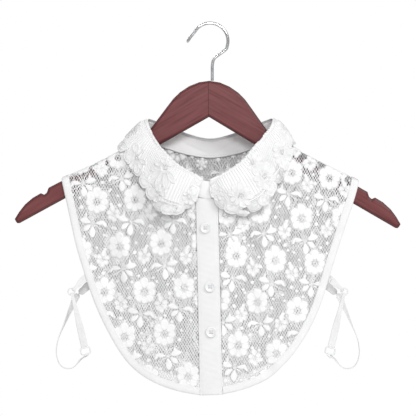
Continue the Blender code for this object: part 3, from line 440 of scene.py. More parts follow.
class Relief:
    """Points on flat cloth, each with a height over it, and the triangles between them."""

    def __init__(self, polygon=None, fine=False):
        self.polygon = polygon
        self.fine = fine
        self.points = []
        self.faces = []
        self.covers = []
        self.count = 0

    def add(self, points, faces):
        self.points.append(np.asarray(points, float))
        self.faces.append(np.asarray(faces, int) + self.count)
        self.count += len(points)

    def holds(self, points):
        if self.polygon is None:
            return np.ones(len(points), bool)
        return inside_polygon(points, self.polygon)

    def trimmed(self, outline, middle):
        """The outline drawn in towards its middle where it would leave the cloth."""
        outside = ~self.holds(outline)
        if not outside.any():
            return outline
        low, high = np.zeros(len(outline)), np.where(outside, 1.0, 0.0)
        for _ in range(7):
            share = (low + high) / 2
            tried = middle + (outline - middle) * share[:, None]
            good = self.holds(tried)
            low = np.where(good, share, low)
            high = np.where(good, high, share)
        share = np.where(outside, low, 1.0)
        return middle + (outline - middle) * share[:, None]

    def pad(self, outline, rings, under, cover=True):
        """A closed raised patch. The rings are a share of the outline and a height."""
        middle = outline.mean(axis=0)
        if not self.holds(middle[None])[0]:
            return
        outline = self.trimmed(outline, middle)
        turned = np.roll(outline, -1, axis=0)
        if np.sum(outline[:, 0] * turned[:, 1] - turned[:, 0] * outline[:, 1]) < 0:
            outline = outline[::-1]
        count = len(outline)
        layers = [np.column_stack((outline, np.zeros(count)))]
        for share, height in rings[:-1]:
            ring = middle + (outline - middle) * share
            layers.append(np.column_stack((ring, np.full(count, height))))
        points = np.vstack((*layers, [[*middle, rings[-1][1]]], [[*middle, under]]))
        k = np.arange(count)
        n = (k + 1) % count
        faces = []
        for level in range(len(layers) - 1):
            low, high = level * count, (level + 1) * count
            faces.append(np.column_stack((low + k, low + n, high + n)))
            faces.append(np.column_stack((low + k, high + n, high + k)))
        last = (len(layers) - 1) * count
        faces.append(np.column_stack((last + k, last + n, np.full(count, len(points) - 2))))
        faces.append(np.column_stack((n, k, np.full(count, len(points) - 1))))
        self.add(points, np.vstack(faces))
        if cover:
            self.covers.append(middle + (outline - middle) * 0.86)

    def cord(self, route, radius, closed=False, lift=0.0):
        """A raised thread of three sides along a route."""
        route = np.asarray(route, float)
        kept = self.holds(route)
        if kept.all():
            self.run(route, radius, closed, lift)
            return
        if closed:
            start = int(np.argmin(kept))
            route, kept = np.roll(route, -start, axis=0), np.roll(kept, -start)
        run = []
        for point, good in zip(route, kept):
            if good:
                run.append(point)
            elif len(run) > 1:
                self.run(np.array(run), radius, False, lift)
                run = []
            else:
                run = []
        if len(run) > 1:
            self.run(np.array(run), radius, False, lift)

    def run(self, route, radius, closed, lift):
        count = len(route)
        if closed:
            along = np.roll(route, -1, axis=0) - np.roll(route, 1, axis=0)
        else:
            along = np.gradient(route, axis=0)
        along /= np.maximum(np.linalg.norm(along, axis=1, keepdims=True), 1e-9)
        side = np.column_stack((-along[:, 1], along[:, 0])) * radius
        rings = (
            np.column_stack((route + side, np.full(count, lift - radius * 0.6))),
            np.column_stack((route - side, np.full(count, lift - radius * 0.6))),
            np.column_stack((route, np.full(count, lift + radius))),
        )
        points = np.stack(rings, axis=1).reshape(-1, 3)
        steps = np.arange(count if closed else count - 1)
        ahead = (steps + 1) % count
        faces = []
        for a, b in ((0, 1), (1, 2), (2, 0)):
            faces.append(np.column_stack((steps * 3 + a, ahead * 3 + b, steps * 3 + b)))
            faces.append(np.column_stack((steps * 3 + a, ahead * 3 + a, ahead * 3 + b)))
        faces = np.vstack(faces)
        if not closed:
            end = 3 * (count - 1)
            faces = np.vstack((faces, [[0, 1, 2], [end, end + 2, end + 1]]))
        self.add(points, faces)

    def joined(self):
        return np.vstack(self.points), np.vstack(self.faces)


def local_to_chart(points, place):
    """Points of a motif moved to its place: x, height, whether it is mirrored, size, turn."""
    x, w, mirrored, size, turn = place
    local = np.asarray(points, float) * size
    if mirrored:
        local = local * (-1.0, 1.0)
    c, s = math.cos(turn), math.sin(turn)
    turned = np.column_stack((local[:, 0] * c - local[:, 1] * s, local[:, 0] * s + local[:, 1] * c))
    return turned + (x, w)


def from_root(points, root, degrees):
    """Points drawn along +X, moved to a root and turned."""
    c, s = math.cos(math.radians(degrees)), math.sin(math.radians(degrees))
    return np.column_stack((points[:, 0] * c - points[:, 1] * s,
                            points[:, 0] * s + points[:, 1] * c)) + root


def petal_outline(length, width, start=0.0, count=12):
    """A rounded petal along +X, widest towards its tip."""
    t = math.tau * np.arange(count) / count
    along = 0.5 - 0.5 * np.cos(t)
    half = 0.5 * width * np.sin(t) * (0.58 + 0.52 * along)
    return np.column_stack((start + (length - start) * along, half))


def crescent_outline(length, outer, inner, count=14):
    """A crescent along +X between an outer and an inner bow."""
    half = count // 2
    s = np.linspace(0.0, 1.0, half + 1)
    bow = 4.0 * s * (1.0 - s) * (0.75 + 0.5 * s)
    out = np.column_stack((s * length, outer * bow))
    back = np.column_stack((s * length, inner * bow))[::-1]
    return np.vstack((out, back[1:-1]))


def disc_outline(radius, count=8, taller=1.0):
    t = math.tau * np.arange(count) / count
    return np.column_stack((radius * np.cos(t), radius * taller * np.sin(t)))


def bud_outline(radius):
    """A small floret with five lobes."""
    t = math.tau * np.arange(15) / 15
    reach = radius * (0.86 + 0.16 * np.cos(5 * t))
    return np.column_stack((reach * np.cos(t), reach * np.sin(t)))


PETAL_RINGS = ((0.80, 0.75), (0.45, 0.15), (0.0, 0.6))
LEAF_RINGS = ((0.68, 0.75), (0.0, 0.05))
BUD_RINGS = ((0.75, 0.6), (0.4, 0.15), (0.0, 0.5))
FLOWER_BASE = ((0.95, 0.12), (0.3, 0.1), (0.22, -0.12), (0.0, -0.12))
UNDER = -0.28
PETAL_CORD_SHARE = 0.96
PETAL_FILL_SHARE = 0.93
OUTLINE_CORD = 0.42
STEM_CORD = 0.5
FLOWER_PETALS = (
    # angle, length, width
    (90.0, 18.6, 13.5),
    (45.0, 16.4, 13.0),
    (135.0, 16.4, 13.0),
    (0.0, 13.2, 11.5),
    (180.0, 13.2, 11.5),
    (-48.0, 14.2, 11.5),
    (228.0, 14.2, 11.5),
    (270.0, 14.0, 9.5),
)
SMALL_PETALS = (
    # angle, length, width
    (95.0, 10.8, 7.0),
    (30.0, 7.8, 6.8),
    (160.0, 8.0, 6.8),
    (-35.0, 7.8, 6.8),
    (218.0, 8.0, 6.8),
    (275.0, 9.8, 6.4),
)
SPRAY_LEAVES = (
    # angle, length, outer bow, inner bow, kind
    (132.0, 14.0, 6.0, -1.4, "open"),
    (64.0, 13.5, 2.2, -5.6, "half"),
    (16.0, 15.5, 5.0, -2.6, "solid"),
    (204.0, 16.5, 1.8, -7.4, "half"),
    (-88.0, 16.0, 4.6, -3.8, "solid"),
    (-38.0, 13.5, 4.0, -2.6, "solid"),
    (170.0, 13.0, 3.8, -2.2, "solid"),
    (-130.0, 11.0, 3.2, -2.4, "open"),
)
UNIT_BUDS = (
    # x, height, radius
    (-16.6, -2.6, 2.8),
    (17.4, -6.0, 3.0),
    (19.4, 5.0, 2.3),
    (-18.6, -30.0, 2.9),
    (-14.6, 12.6, 2.3),
    (14.5, -40.0, 2.6),
    (22.5, -33.0, 2.4),
    (-8.5, -38.5, 2.3),
)
SPRAY_PLACE = (4.4, -25.0)
SMALL_FLOWER_PLACE = (-19.0, -14.0)


def flower(relief, place, petals, hollow, ring):
    """An open flower: raised petals round a hole with a small ring in it."""
    lobes = []
    for degrees, length, width in sorted(petals):
        if relief.fine:
            outline = petal_outline(length, width * PETAL_CORD_SHARE, hollow)
            outline = local_to_chart(from_root(outline, (0, 0), degrees), place)
            relief.cord(outline, OUTLINE_CORD, closed=True, lift=0.1)
            middle = outline.mean(axis=0)
            relief.pad(middle + (outline - middle) * PETAL_FILL_SHARE, PETAL_RINGS, UNDER)
            continue
        outline = petal_outline(length, width, hollow)
        relief.pad(local_to_chart(from_root(outline, (0, 0), degrees), place), PETAL_RINGS, UNDER)
        reach = np.array([[length * 0.8, -width * 0.2], [length * 0.8, width * 0.2]])
        lobes.append(from_root(reach, (0, 0), degrees))
    if lobes:
        relief.pad(local_to_chart(np.vstack(lobes), place), FLOWER_BASE, UNDER)
    drop = disc_outline(ring, 12, 1.15)
    relief.cord(local_to_chart(drop, place), OUTLINE_CORD * 1.2, closed=True)
    stem = np.column_stack((np.zeros(4), np.linspace(ring, hollow + ring, 4)))
    relief.cord(local_to_chart(stem, place), OUTLINE_CORD)


def leaf(relief, place, root, degrees, length, outer, inner, kind):
    """A crescent leaf: solid, or an outline with net in it, or half of each."""
    outline = local_to_chart(from_root(crescent_outline(length, outer, inner), root, degrees), place)
    if kind == "solid":
        relief.pad(outline, LEAF_RINGS, UNDER)
        return
    relief.cord(outline, OUTLINE_CORD * 1.25, closed=True, lift=0.15)
    if kind == "half":
        strong = outer if abs(outer) > abs(inner) else inner
        band = crescent_outline(length, strong, strong * 0.4)
        relief.pad(local_to_chart(from_root(band, root, degrees), place), LEAF_RINGS, UNDER, cover=False)


def spray(relief, place, root):
    """Leaves round a knot, joined by corded stems."""
    for degrees, length, outer, inner, kind in SPRAY_LEAVES:
        start = from_root(np.array([[1.6, 0.0]]), root, degrees)[0]
        leaf(relief, place, start, degrees, length, outer, inner, kind)
        stem = from_root(np.column_stack((np.linspace(0.0, 3.0, 3), np.zeros(3))), root, degrees)
        relief.cord(local_to_chart(stem, place), STEM_CORD, lift=0.15)
    relief.pad(local_to_chart(disc_outline(1.3) + root, place), BUD_RINGS, UNDER)


def unit(relief, x, w, mirrored, size, turn=0.0):
    """One repeat of the lace: a flower, a small flower, a spray of leaves and buds."""
    place = (x, w, mirrored, size, turn)
    flower(relief, place, FLOWER_PETALS, 3.3, 2.0)
    small_x, small_w = local_to_chart([SMALL_FLOWER_PLACE], place)[0]
    small_place = (small_x, small_w, mirrored, size, turn + (0.2 if mirrored else -0.2))
    flower(relief, small_place, SMALL_PETALS, 1.9, 1.2)
    spray(relief, place, np.array(SPRAY_PLACE))
    for bud_x, bud_w, radius in UNIT_BUDS:
        outline = bud_outline(radius) + (bud_x, bud_w)
        relief.pad(local_to_chart(outline, place), BUD_RINGS, UNDER)
    stem = spline([(0.0, -12.0), (2.6, -17.0), (3.6, -21.0), SPRAY_PLACE], np.linspace(0, 3, 8))
    relief.cord(local_to_chart(stem, place), STEM_CORD, lift=0.1)


def net(relief, pitch, row, thread, open_shoulder):
    """A hexagonal net of wavy strands that run down the cloth and pair up in turn."""
    low, high = relief.polygon.min(axis=0), relief.polygon.max(axis=0)
    half = pitch / 2
    strands = np.arange(math.floor(low[0] / half) - 1, math.ceil(high[0] / half) + 1)
    rows = np.arange(math.floor(low[1] / row) - 1, math.ceil(high[1] / row) + 1)
    k, j = np.meshgrid(strands, rows, indexing="ij")
    shifted = (k + j) & 1
    x = (k + shifted) * half + np.where(shifted == 1, -0.8, 0.8) * thread
    upright = 0.29 * row
    x = np.repeat(x, 2, axis=1)
    w = np.stack((j * row - upright, j * row + upright), axis=2).reshape(len(strands), -1)
    sway = 0.5 * np.sin(w * 0.083 + x * 0.021) + 0.3 * np.sin(w * 0.19 - x * 0.05 + 1.3)
    rise = 0.35 * np.sin(x * 0.11 + w * 0.03)
    x, w = x + sway, w + rise
    flat = np.column_stack((x.ravel(), w.ravel()))
    held = relief.holds(flat)
    covered = np.zeros(len(flat), bool)
    for outline in relief.covers:
        lowest, highest = outline.min(axis=0), outline.max(axis=0)
        near = np.nonzero(held & (flat > lowest).all(axis=1) & (flat < highest).all(axis=1))[0]
        covered[near[inside_polygon(flat[near], outline)]] = True
    held, covered = held.reshape(x.shape), covered.reshape(x.shape)
    kept = held[:, :-1] & held[:, 1:] & ~(covered[:, :-1] & covered[:, 1:])
    used = np.zeros(x.shape, bool)
    used[:, :-1] |= kept
    used[:, 1:] |= kept
    ids = (np.cumsum(used.ravel()) - 1).reshape(x.shape)
    x, w = x[used], w[used]
    # the threads are thinner in places, and over the shoulder on the front
    half_width = thread * (0.94 + 0.15 * np.sin(0.13 * x + 0.06 * w) * np.sin(0.09 * w - 0.04 * x + 1.0))
    if open_shoulder:
        below = (shoulder_height(x) - w - OPEN_BAND[0]) / OPEN_BAND[1]
        half_width = half_width * (OPEN_BAND_THREAD + (1.0 - OPEN_BAND_THREAD) * smooth_step(below))
    points = np.empty((len(x), 3, 3))
    points[:, 0] = np.column_stack((x - half_width, w, np.full(len(x), -0.1)))
    points[:, 1] = np.column_stack((x + half_width, w, np.full(len(x), -0.1)))
    points[:, 2] = np.column_stack((x, w, np.full(len(x), 0.2)))
    points = points.reshape(-1, 3)
    low_ids, high_ids = ids[:, :-1][kept], ids[:, 1:][kept]
    faces = []
    for a, b in ((0, 1), (1, 2), (2, 0)):
        faces.append(np.column_stack((low_ids * 3 + a, low_ids * 3 + b, high_ids * 3 + b)))
        faces.append(np.column_stack((low_ids * 3 + a, high_ids * 3 + b, high_ids * 3 + a)))
    none = np.zeros((len(strands), 1), bool)
    starts = kept & ~np.hstack((none, kept[:, :-1]))
    ends = kept & ~np.hstack((kept[:, 1:], none))
    first, last = ids[:, :-1][starts] * 3, ids[:, 1:][ends] * 3
    faces.append(np.column_stack((first, first + 2, first + 1)))
    faces.append(np.column_stack((last, last + 1, last + 2)))
    relief.add(points, np.vstack(faces))


def mesh_object(name, points, faces, finish, smooth=True):
    """A piece from points in millimetres."""
    mesh = bpy.data.meshes.new(name)
    mesh.from_pydata((np.asarray(points) * MM).tolist(), [], [list(f) for f in faces])
    mesh.materials.append(finish)
    if smooth:
        mesh.shade_smooth()
    made = bpy.data.objects.new(name, mesh)
    bpy.context.scene.collection.objects.link(made)
    return made


def lace_panel(name, face, relief, spacing, finish, flipped):
    net(relief, *spacing, open_shoulder=face == "front")
    points, faces = relief.joined()
    if flipped:
        faces = faces[:, ::-1]
    return mesh_object(name, laid(points, face), faces.tolist(), finish)


def make_front_lace(side, units, finish):
    relief = Relief(panel_chart("front", side, LACE_UNDER_BINDING), fine=True)
    for x, w, mirrored, size in units:
        unit(relief, x, w, mirrored, size)
    for x, w, size in SHOULDER_FLOWERS[side]:
        flower(relief, (x, w, False, size, 0.0), SMALL_PETALS, 1.9, 1.2)
    return lace_panel(f"lace_front_{side}", "front", relief, FRONT_NET, finish, False)


def back_chart(inset):
    """The flat cut of the back: its two halves joined along their middle line."""
    left, right = panel_chart("back", "left", inset), panel_chart("back", "right", inset)
    # each half runs over its shoulder, down its edge, up the middle and along the neck
    middle_left = np.nonzero(left[:, 0] == 0.0)[0]
    middle_right = np.nonzero(right[:, 0] == 0.0)[0]
    return np.vstack((left[:middle_left[0] + 1], right[:middle_right[0]][::-1],
                      right[middle_right[-1] + 1:][::-1], left[middle_left[-1]:]))


def make_back_lace(finish):
    relief = Relief(back_chart(LACE_UNDER_BINDING))
    for row in range(-1, 6):
        for column in range(-4, 5):
            mirrored = row % 2 == 0
            shift = -BACK_ZIGZAG if mirrored else BACK_ZIGZAG
            x = column * BACK_COLUMN_STEP + shift
            w = -196.0 - row * BACK_ROW_STEP
            unit(relief, x, w, mirrored, 1.0)
    return lace_panel("lace_back", "back", relief, BACK_NET, finish, True)


class Solid:
    """Points in space and the triangles between them."""

    def __init__(self):
        self.points = []
        self.faces = []
        self.count = 0

    def add(self, points, faces):
        self.points.append(np.asarray(points, float).reshape(-1, 3))
        self.faces.append(np.asarray(faces, int) + self.count)
        self.count += len(self.points[-1])

    def joined(self):
        return np.vstack(self.points), np.vstack(self.faces).tolist()


def loft_faces(sections, columns, ring=False, caps=True):
    """The triangles of a tube through closed sections of equal point counts."""
    k = np.arange(columns)
    n = (k + 1) % columns
    faces = []
    for i in range(sections if ring else sections - 1):
        low, high = i * columns, ((i + 1) % sections) * columns
        faces.append(np.column_stack((low + k, low + n, high + n)))
        faces.append(np.column_stack((low + k, high + n, high + k)))
    if caps and not ring:
        end = (sections - 1) * columns
        inner = np.arange(1, columns - 1)
        faces.append(np.column_stack((np.zeros(columns - 2, int), inner + 1, inner)))
        faces.append(np.column_stack((np.full(columns - 2, end), end + inner, end + inner + 1)))
    return np.vstack(faces)


def unit_rows(rows):
    return rows / np.maximum(np.linalg.norm(rows, axis=-1, keepdims=True), 1e-9)


def loft(name, sections, finish, ring=False):
    """A piece through closed sections, with its faces turned outward."""
    sections = np.asarray(sections, float)
    faces = loft_faces(len(sections), sections.shape[1], ring)
    points = sections.reshape(-1, 3)
    a, b, c = points[faces[:, 0]], points[faces[:, 1]], points[faces[:, 2]]
    if np.sum(a * np.cross(b, c)) < 0:
        faces = faces[:, ::-1]
    return mesh_object(name, points, faces.tolist(), finish)


def add_stitches(solid, route, normals, pitch=3.0, length=2.1, radius=0.2):
    """Short stitches along a route in space."""
    steps = np.linalg.norm(np.diff(route, axis=0), axis=1)
    along = np.concatenate(([0.0], np.cumsum(steps)))
    for start in np.arange(pitch, along[-1] - pitch, pitch):
        ends = [np.array([np.interp(start + d, along, route[:, i]) for i in range(3)])
                for d in (0.0, length)]
        normal = unit_rows(np.array([np.interp(start, along, normals[:, i]) for i in range(3)]))
        way = unit_rows(ends[1] - ends[0])
        across = np.cross(way, normal) * radius
        middle = (ends[0] + ends[1]) / 2
        points = [ends[0] - normal * radius, middle + across, middle + normal * radius,
                  middle - across, middle - normal * radius, ends[1] - normal * radius]
        faces = [(0, 2, 1), (0, 3, 2), (0, 4, 3), (0, 1, 4), (5, 1, 2), (5, 2, 3), (5, 3, 4), (5, 4, 1)]
        solid.add(points, faces)


BINDING_SECTION = (
    # distance out from the inner line, height over the cloth's outer face
    (0.0, 0.22),
    (0.12, 0.56),
    (0.6, 0.78),
    (1.5, 0.58),
    (2.4, 0.86),
    (4.5, 1.0),
    (6.6, 0.94),
    (7.9, 0.72),
    (8.65, 0.15),
    (8.95, -0.6),
    (8.65, -1.35),
    (7.9, -1.92),
    (6.6, -2.14),
    (4.5, -2.2),
    (2.4, -2.06),
    (1.5, -1.78),
    (0.6, -1.98),
    (0.12, -1.76),
    (0.0, -1.42),
    (0.12, -1.26),
    (7.7, -1.26),
    (8.1, -0.6),
    (7.7, 0.06),
    (0.12, 0.06),
)
STITCH_LINE = 1.5
BINDING_EDGE = 7.9
PUCKER_WAVES = (
    # wave length along the tape, height
    (9.7, 0.10),
    (5.3, 0.07),
    (23.0, 0.12),
)


def binding_lines(face, side):
    """The bound edge's own line and the tape's inner line on the cloth, with their normals."""
    outline = bound_outline(face, side)
    edge = moved_in(outline, BINDING_TAPE + SEAM_GAP, side)
    inner = moved_in(outline, BINDING_WIDTH, side)
    tip = edge[0, 0]
    inner[0, 1] = shoulder_height(inner[0, 0]) + WRAP_EXTRA
    edge[0, 1] = shoulder_height(tip) + WRAP_EXTRA
    if face == "front":
        keep = placket_edge(edge[-1, 1], side)
        edge[-1, 0] = inner[-1, 0] = keep
    else:
        edge[-1, 0] = inner[-1, 0] = 0.0
    return (cloth_point(edge[:, 0], edge[:, 1], face), cloth_normal(edge[:, 0], edge[:, 1], face),
            cloth_point(inner[:, 0], inner[:, 1], face), cloth_normal(inner[:, 0], inner[:, 1], face))


def make_binding(name, face, sides, finish, stitching):
    """Bias tape folded over the cut edge of the lace."""
    lines = [binding_lines(face, side) for side in sides]
    if len(lines) == 2:
        lines = [np.vstack((a, b[::-1][1:])) for a, b in zip(*lines)]
    else:
        lines = lines[0]
    edge, edge_normal, inner, inner_normal = lines
    outward = unit_rows(edge - inner)
    steps = np.linalg.norm(np.diff(edge, axis=0), axis=1)
    along = np.concatenate(([0.0], np.cumsum(steps)))
    pucker = sum(height * np.sin(math.tau * along / wave + wave) for wave, height in PUCKER_WAVES)
    width = np.linalg.norm(edge - inner, axis=1)

    def at(distance, height):
        share = min(distance / BINDING_EDGE, 1.0)
        beyond = max(distance - BINDING_EDGE, 0.0)
        normal = unit_rows(inner_normal * (1 - share) + edge_normal * share)
        puffed = height + (pucker * 0.6 if 2.0 < distance < 7.5 else 0.0)
        return inner + (edge - inner) * share + outward * beyond + normal * np.reshape(puffed, (-1, 1))

    heights = [np.full(len(edge), height) for _, height in BINDING_SECTION]
    sections = np.stack([at(distance, height) for (distance, _), height
                         in zip(BINDING_SECTION, heights)], axis=1)
    piece = loft(name, sections, finish)
    for height in (0.62, -1.82):
        line = at(STITCH_LINE, np.full(len(edge), height))
        normal = inner_normal if height > 0 else -inner_normal
        add_stitches(stitching, line, normal)
    tape_length = along[-1]
    return piece, tape_length, float(np.mean(width)) + 2.0


PLACKET_TOP_ENDS = (-199.2, -200.8)
PLACKET_TOP_SAG = 2.4
PLACKET_BOTTOM_ENDS = (-426.6, -425.7)
PLACKET_PROFILE = (
    # distance in from the folded edge, height over the cloth's outer face
    (0.0, -0.25),
    (0.12, 0.08),
    (0.45, 0.38),
    (1.3, 0.5),
    (1.9, 0.26),
    (2.6, 0.5),
    (5.0, 0.52),
    (8.6, 0.46),
)
PLACKET_BACK = -0.95
PLACKET_STITCH = 1.9
PLACKET_ROWS = 130


def placket_sections(profile, back, inset):
    """Sections of a folded strip down the front, and the strip's rows on the chart."""
    sections = []
    high, low = PLACKET_TOP_ENDS[0] - 1.5, PLACKET_BOTTOM_ENDS[0] + 0.3
    for j in range(PLACKET_ROWS + 1):
        down = j / PLACKET_ROWS
        z_mid = high + (low - high) * down
        left, right = placket_edge(z_mid, "left") + inset, placket_edge(z_mid, "right") - inset
        width = right - left
        across = [(left + d, h) for d, h in profile] + [((left + right) / 2, profile[-1][1] - 0.04)]
        across += [(right - d, h) for d, h in reversed(profile)]
        across += [(left + width * s, back) for s in (0.97, 0.75, 0.5, 0.25, 0.03)]
        x = np.array([a for a, _ in across])
        h = np.array([b for _, b in across])
        share = (x - left) / width
        sag = np.sin(math.pi * share)
        top = PLACKET_TOP_ENDS[0] + (PLACKET_TOP_ENDS[1] - PLACKET_TOP_ENDS[0]) * share
        top = top - PLACKET_TOP_SAG * sag
        bottom = PLACKET_BOTTOM_ENDS[0] + (PLACKET_BOTTOM_ENDS[1] - PLACKET_BOTTOM_ENDS[0]) * share
        z = top + (bottom - top) * down
        ripple = (h > 0) * (0.09 * np.sin(z * 0.9 + x * 0.3) + 0.12 * np.sin(z * 0.13 + x * 0.16))
        sections.append(cloth_point(x, z, "front") + cloth_normal(x, z, "front") * (h + ripple)[:, None])
    return np.array(sections)


def make_placket(cotton, stitching):
    sections = placket_sections(PLACKET_PROFILE, PLACKET_BACK, 0.0)
    placket = loft("placket_cloth", sections, cotton)
    column = [d for d, _ in PLACKET_PROFILE].index(PLACKET_STITCH)
    ring = 2 * len(PLACKET_PROFILE) + 1
    for index in (column, ring - 1 - column):
        line = sections[:, index] + (0.0, -0.1, 0.0)
        add_stitches(stitching, line, np.tile((0.0, -1.0, 0.0), (len(line), 1)), pitch=2.7, length=1.9)
    under_profile = [(d, h - 1.75) for d, h in PLACKET_PROFILE]
    under = placket_sections(under_profile, -2.75, 1.5)
    under_cloth = loft("placket_under_cloth", under, cotton)
    return placket, under_cloth


BUTTONS = (
    # x, z
    (-5.4, -234.3),
    (-0.2, -301.9),
    (0.9, -353.9),
)
BUTTON_PROFILE = (
    # radius, height
    (0.0, 1.25),
    (2.6, 1.25),
    (3.9, 1.5),
    (4.6, 2.15),
    (5.1, 2.45),
    (5.6, 2.45),
    (6.0, 2.15),
    (6.2, 1.6),
    (6.1, 1.0),
    (5.5, 0.4),
    (4.6, 0.1),
    (0.0, 0.0),
)
BUTTON_STEPS = 48
BUTTON_SEAT = 0.75
HOLE_RADIUS = 0.75
HOLE_OFFSET = 1.35


def turned_mesh(name, profile, steps):
    """A closed turned mesh about Z from a profile that starts and ends on the axis."""
    angles = math.tau * np.arange(steps) / steps
    rings = [np.column_stack((r * np.cos(angles), r * np.sin(angles), np.full(steps, z)))
             for r, z in profile[1:-1]]
    points = np.vstack((*rings, [[0, 0, profile[0][1]]], [[0, 0, profile[-1][1]]]))
    k = np.arange(steps)
    n = (k + 1) % steps
    faces = []
    for i in range(len(rings) - 1):
        low, high = i * steps, (i + 1) * steps
        faces += np.column_stack((low + k, high + k, high + n, low + n)).tolist()
    top, bottom, last = len(points) - 2, len(points) - 1, (len(rings) - 1) * steps
    faces += np.column_stack((np.full(steps, top), k, n)).tolist()
    faces += np.column_stack((np.full(steps, bottom), last + n, last + k)).tolist()
    mesh = bpy.data.meshes.new(name)
    mesh.from_pydata((points * MM).tolist(), [], faces)
    return mesh


def make_buttons(resin, thread):
    """Sew-through buttons with four holes and crossed thread."""
    blank = bpy.data.objects.new("button blank", turned_mesh("button", BUTTON_PROFILE, BUTTON_STEPS))
    bpy.context.scene.collection.objects.link(blank)
    cutters = []
    for a, b in ((1, 1), (1, -1), (-1, 1), (-1, -1)):
        bpy.ops.mesh.primitive_cylinder_add(vertices=16, radius=HOLE_RADIUS * MM, depth=8 * MM,
                                            location=(a * HOLE_OFFSET * MM, b * HOLE_OFFSET * MM, 0))
        cutter = bpy.context.object
        cutters.append(cutter)
        hole = blank.modifiers.new("hole", "BOOLEAN")
        hole.operation = "DIFFERENCE"
        hole.object = cutter
    bpy.context.view_layer.update()
    evaluated = blank.evaluated_get(bpy.context.evaluated_depsgraph_get())
    mesh = bpy.data.meshes.new_from_object(evaluated)
    for done in (blank, *cutters):
        bpy.data.objects.remove(done)
    mesh.name = "button"
    mesh.materials.clear()
    mesh.materials.append(resin)
    mesh.shade_smooth()
    mesh.set_sharp_from_angle(angle=math.radians(50))
    made = []
    for number, (x, z) in enumerate(BUTTONS, start=1):
        normal = Vector(cloth_normal(np.array([x]), np.array([z]), "front")[0])
        place = Vector(cloth_point(np.array([x]), np.array([z]), "front")[0])
        body = mesh.copy()
        turn = normal.to_track_quat("Z", "Y").to_matrix().to_4x4()
        turn.translation = (place + normal * BUTTON_SEAT) * MM
        body.transform(turn)
        button = bpy.data.objects.new(f"sewn_button_{number}", body)
        bpy.context.scene.collection.objects.link(button)
        threads = Solid()
        for a, b in (((-1, -1), (1, 1)), ((-1, 1), (1, -1))):
            for shift in (-0.22, 0.22):
                route = []
                for s in np.linspace(0.0, 1.0, 7):
                    px = (a[0] + (b[0] - a[0]) * s) * HOLE_OFFSET + shift
                    py = (a[1] + (b[1] - a[1]) * s) * HOLE_OFFSET - shift * a[1] * b[1]
                    high = 1.1 + 0.62 * math.sin(math.pi * s) ** 0.5
                    route.append(turn @ (Vector((px, py, high)) * MM) / MM)
                add_tube(threads, np.array(route), 0.22, 6)
        points, faces = threads.joined()
        knot = mesh_object(f"button_thread_{number}", points, faces, thread)
        made.append((button, knot))
    return made


def add_tube(solid, route, radius, sides, ring=False, squeeze=None):
    """A round tube along a route in space."""
    route = np.asarray(route, float)
    if ring:
        along = np.roll(route, -1, axis=0) - np.roll(route, 1, axis=0)
    else:
        along = np.gradient(route, axis=0)
    along = unit_rows(along)
    guide = np.tile((0.0, 1.0, 0.0), (len(route), 1)) if squeeze is None else squeeze
    side = np.cross(along, guide)
    weak = np.linalg.norm(side, axis=1) < 0.2
    side[weak] = np.cross(along[weak], (1.0, 0.0, 0.0))
    side = unit_rows(side)
    over = unit_rows(np.cross(side, along))
    angles = math.tau * np.arange(sides) / sides
    radius = np.broadcast_to(np.asarray(radius, float), (len(route),))[:, None, None]
    sections = route[:, None, :] + radius * (side[:, None, :] * np.cos(angles)[None, :, None]
                                             + over[:, None, :] * np.sin(angles)[None, :, None])
    solid.add(sections.reshape(-1, 3), loft_faces(len(route), sides, ring))


def tube_object(name, route, radius, sides, finish, ring=False):
    solid = Solid()
    add_tube(solid, route, radius, sides, ring)
    points, faces = solid.joined()
    return mesh_object(name, points, faces, finish)


STAND_SECTION = (
    # share of the height from the base, distance in from the outer face
    (0.0, 0.3),
    (0.02, 0.0),
    (0.3, 0.0),
    (0.6, 0.0),
    (0.9, 0.0),
    (0.98, 0.25),
    (1.0, 0.8),
    (0.98, 1.35),
    (0.93, 1.6),
    (0.88, 1.42),
    (0.83, 1.62),
    (0.74, 1.66),
    (0.66, 1.66),
    (0.58, 1.66),
    (0.50, 1.66),
    (0.42, 1.66),
    (0.34, 1.66),
    (0.26, 1.66),
    (0.17, 1.62),
    (0.12, 1.42),
    (0.06, 1.62),
    (0.0, 1.3),
)
STAND_FRONT_MEETING = ((-4.0, -38.4, -180.8), (-4.0, -33.8, -201.2))
STAND_CREASES = (
    # x along the inside of the back, share of the height, tilt, length, depth
    (22.0, 0.55, 0.35, 26.0, 1.25),
    (-24.0, 0.5, -0.2, 24.0, 0.9),
    (50.0, 0.5, 0.5, 14.0, 0.9),
)


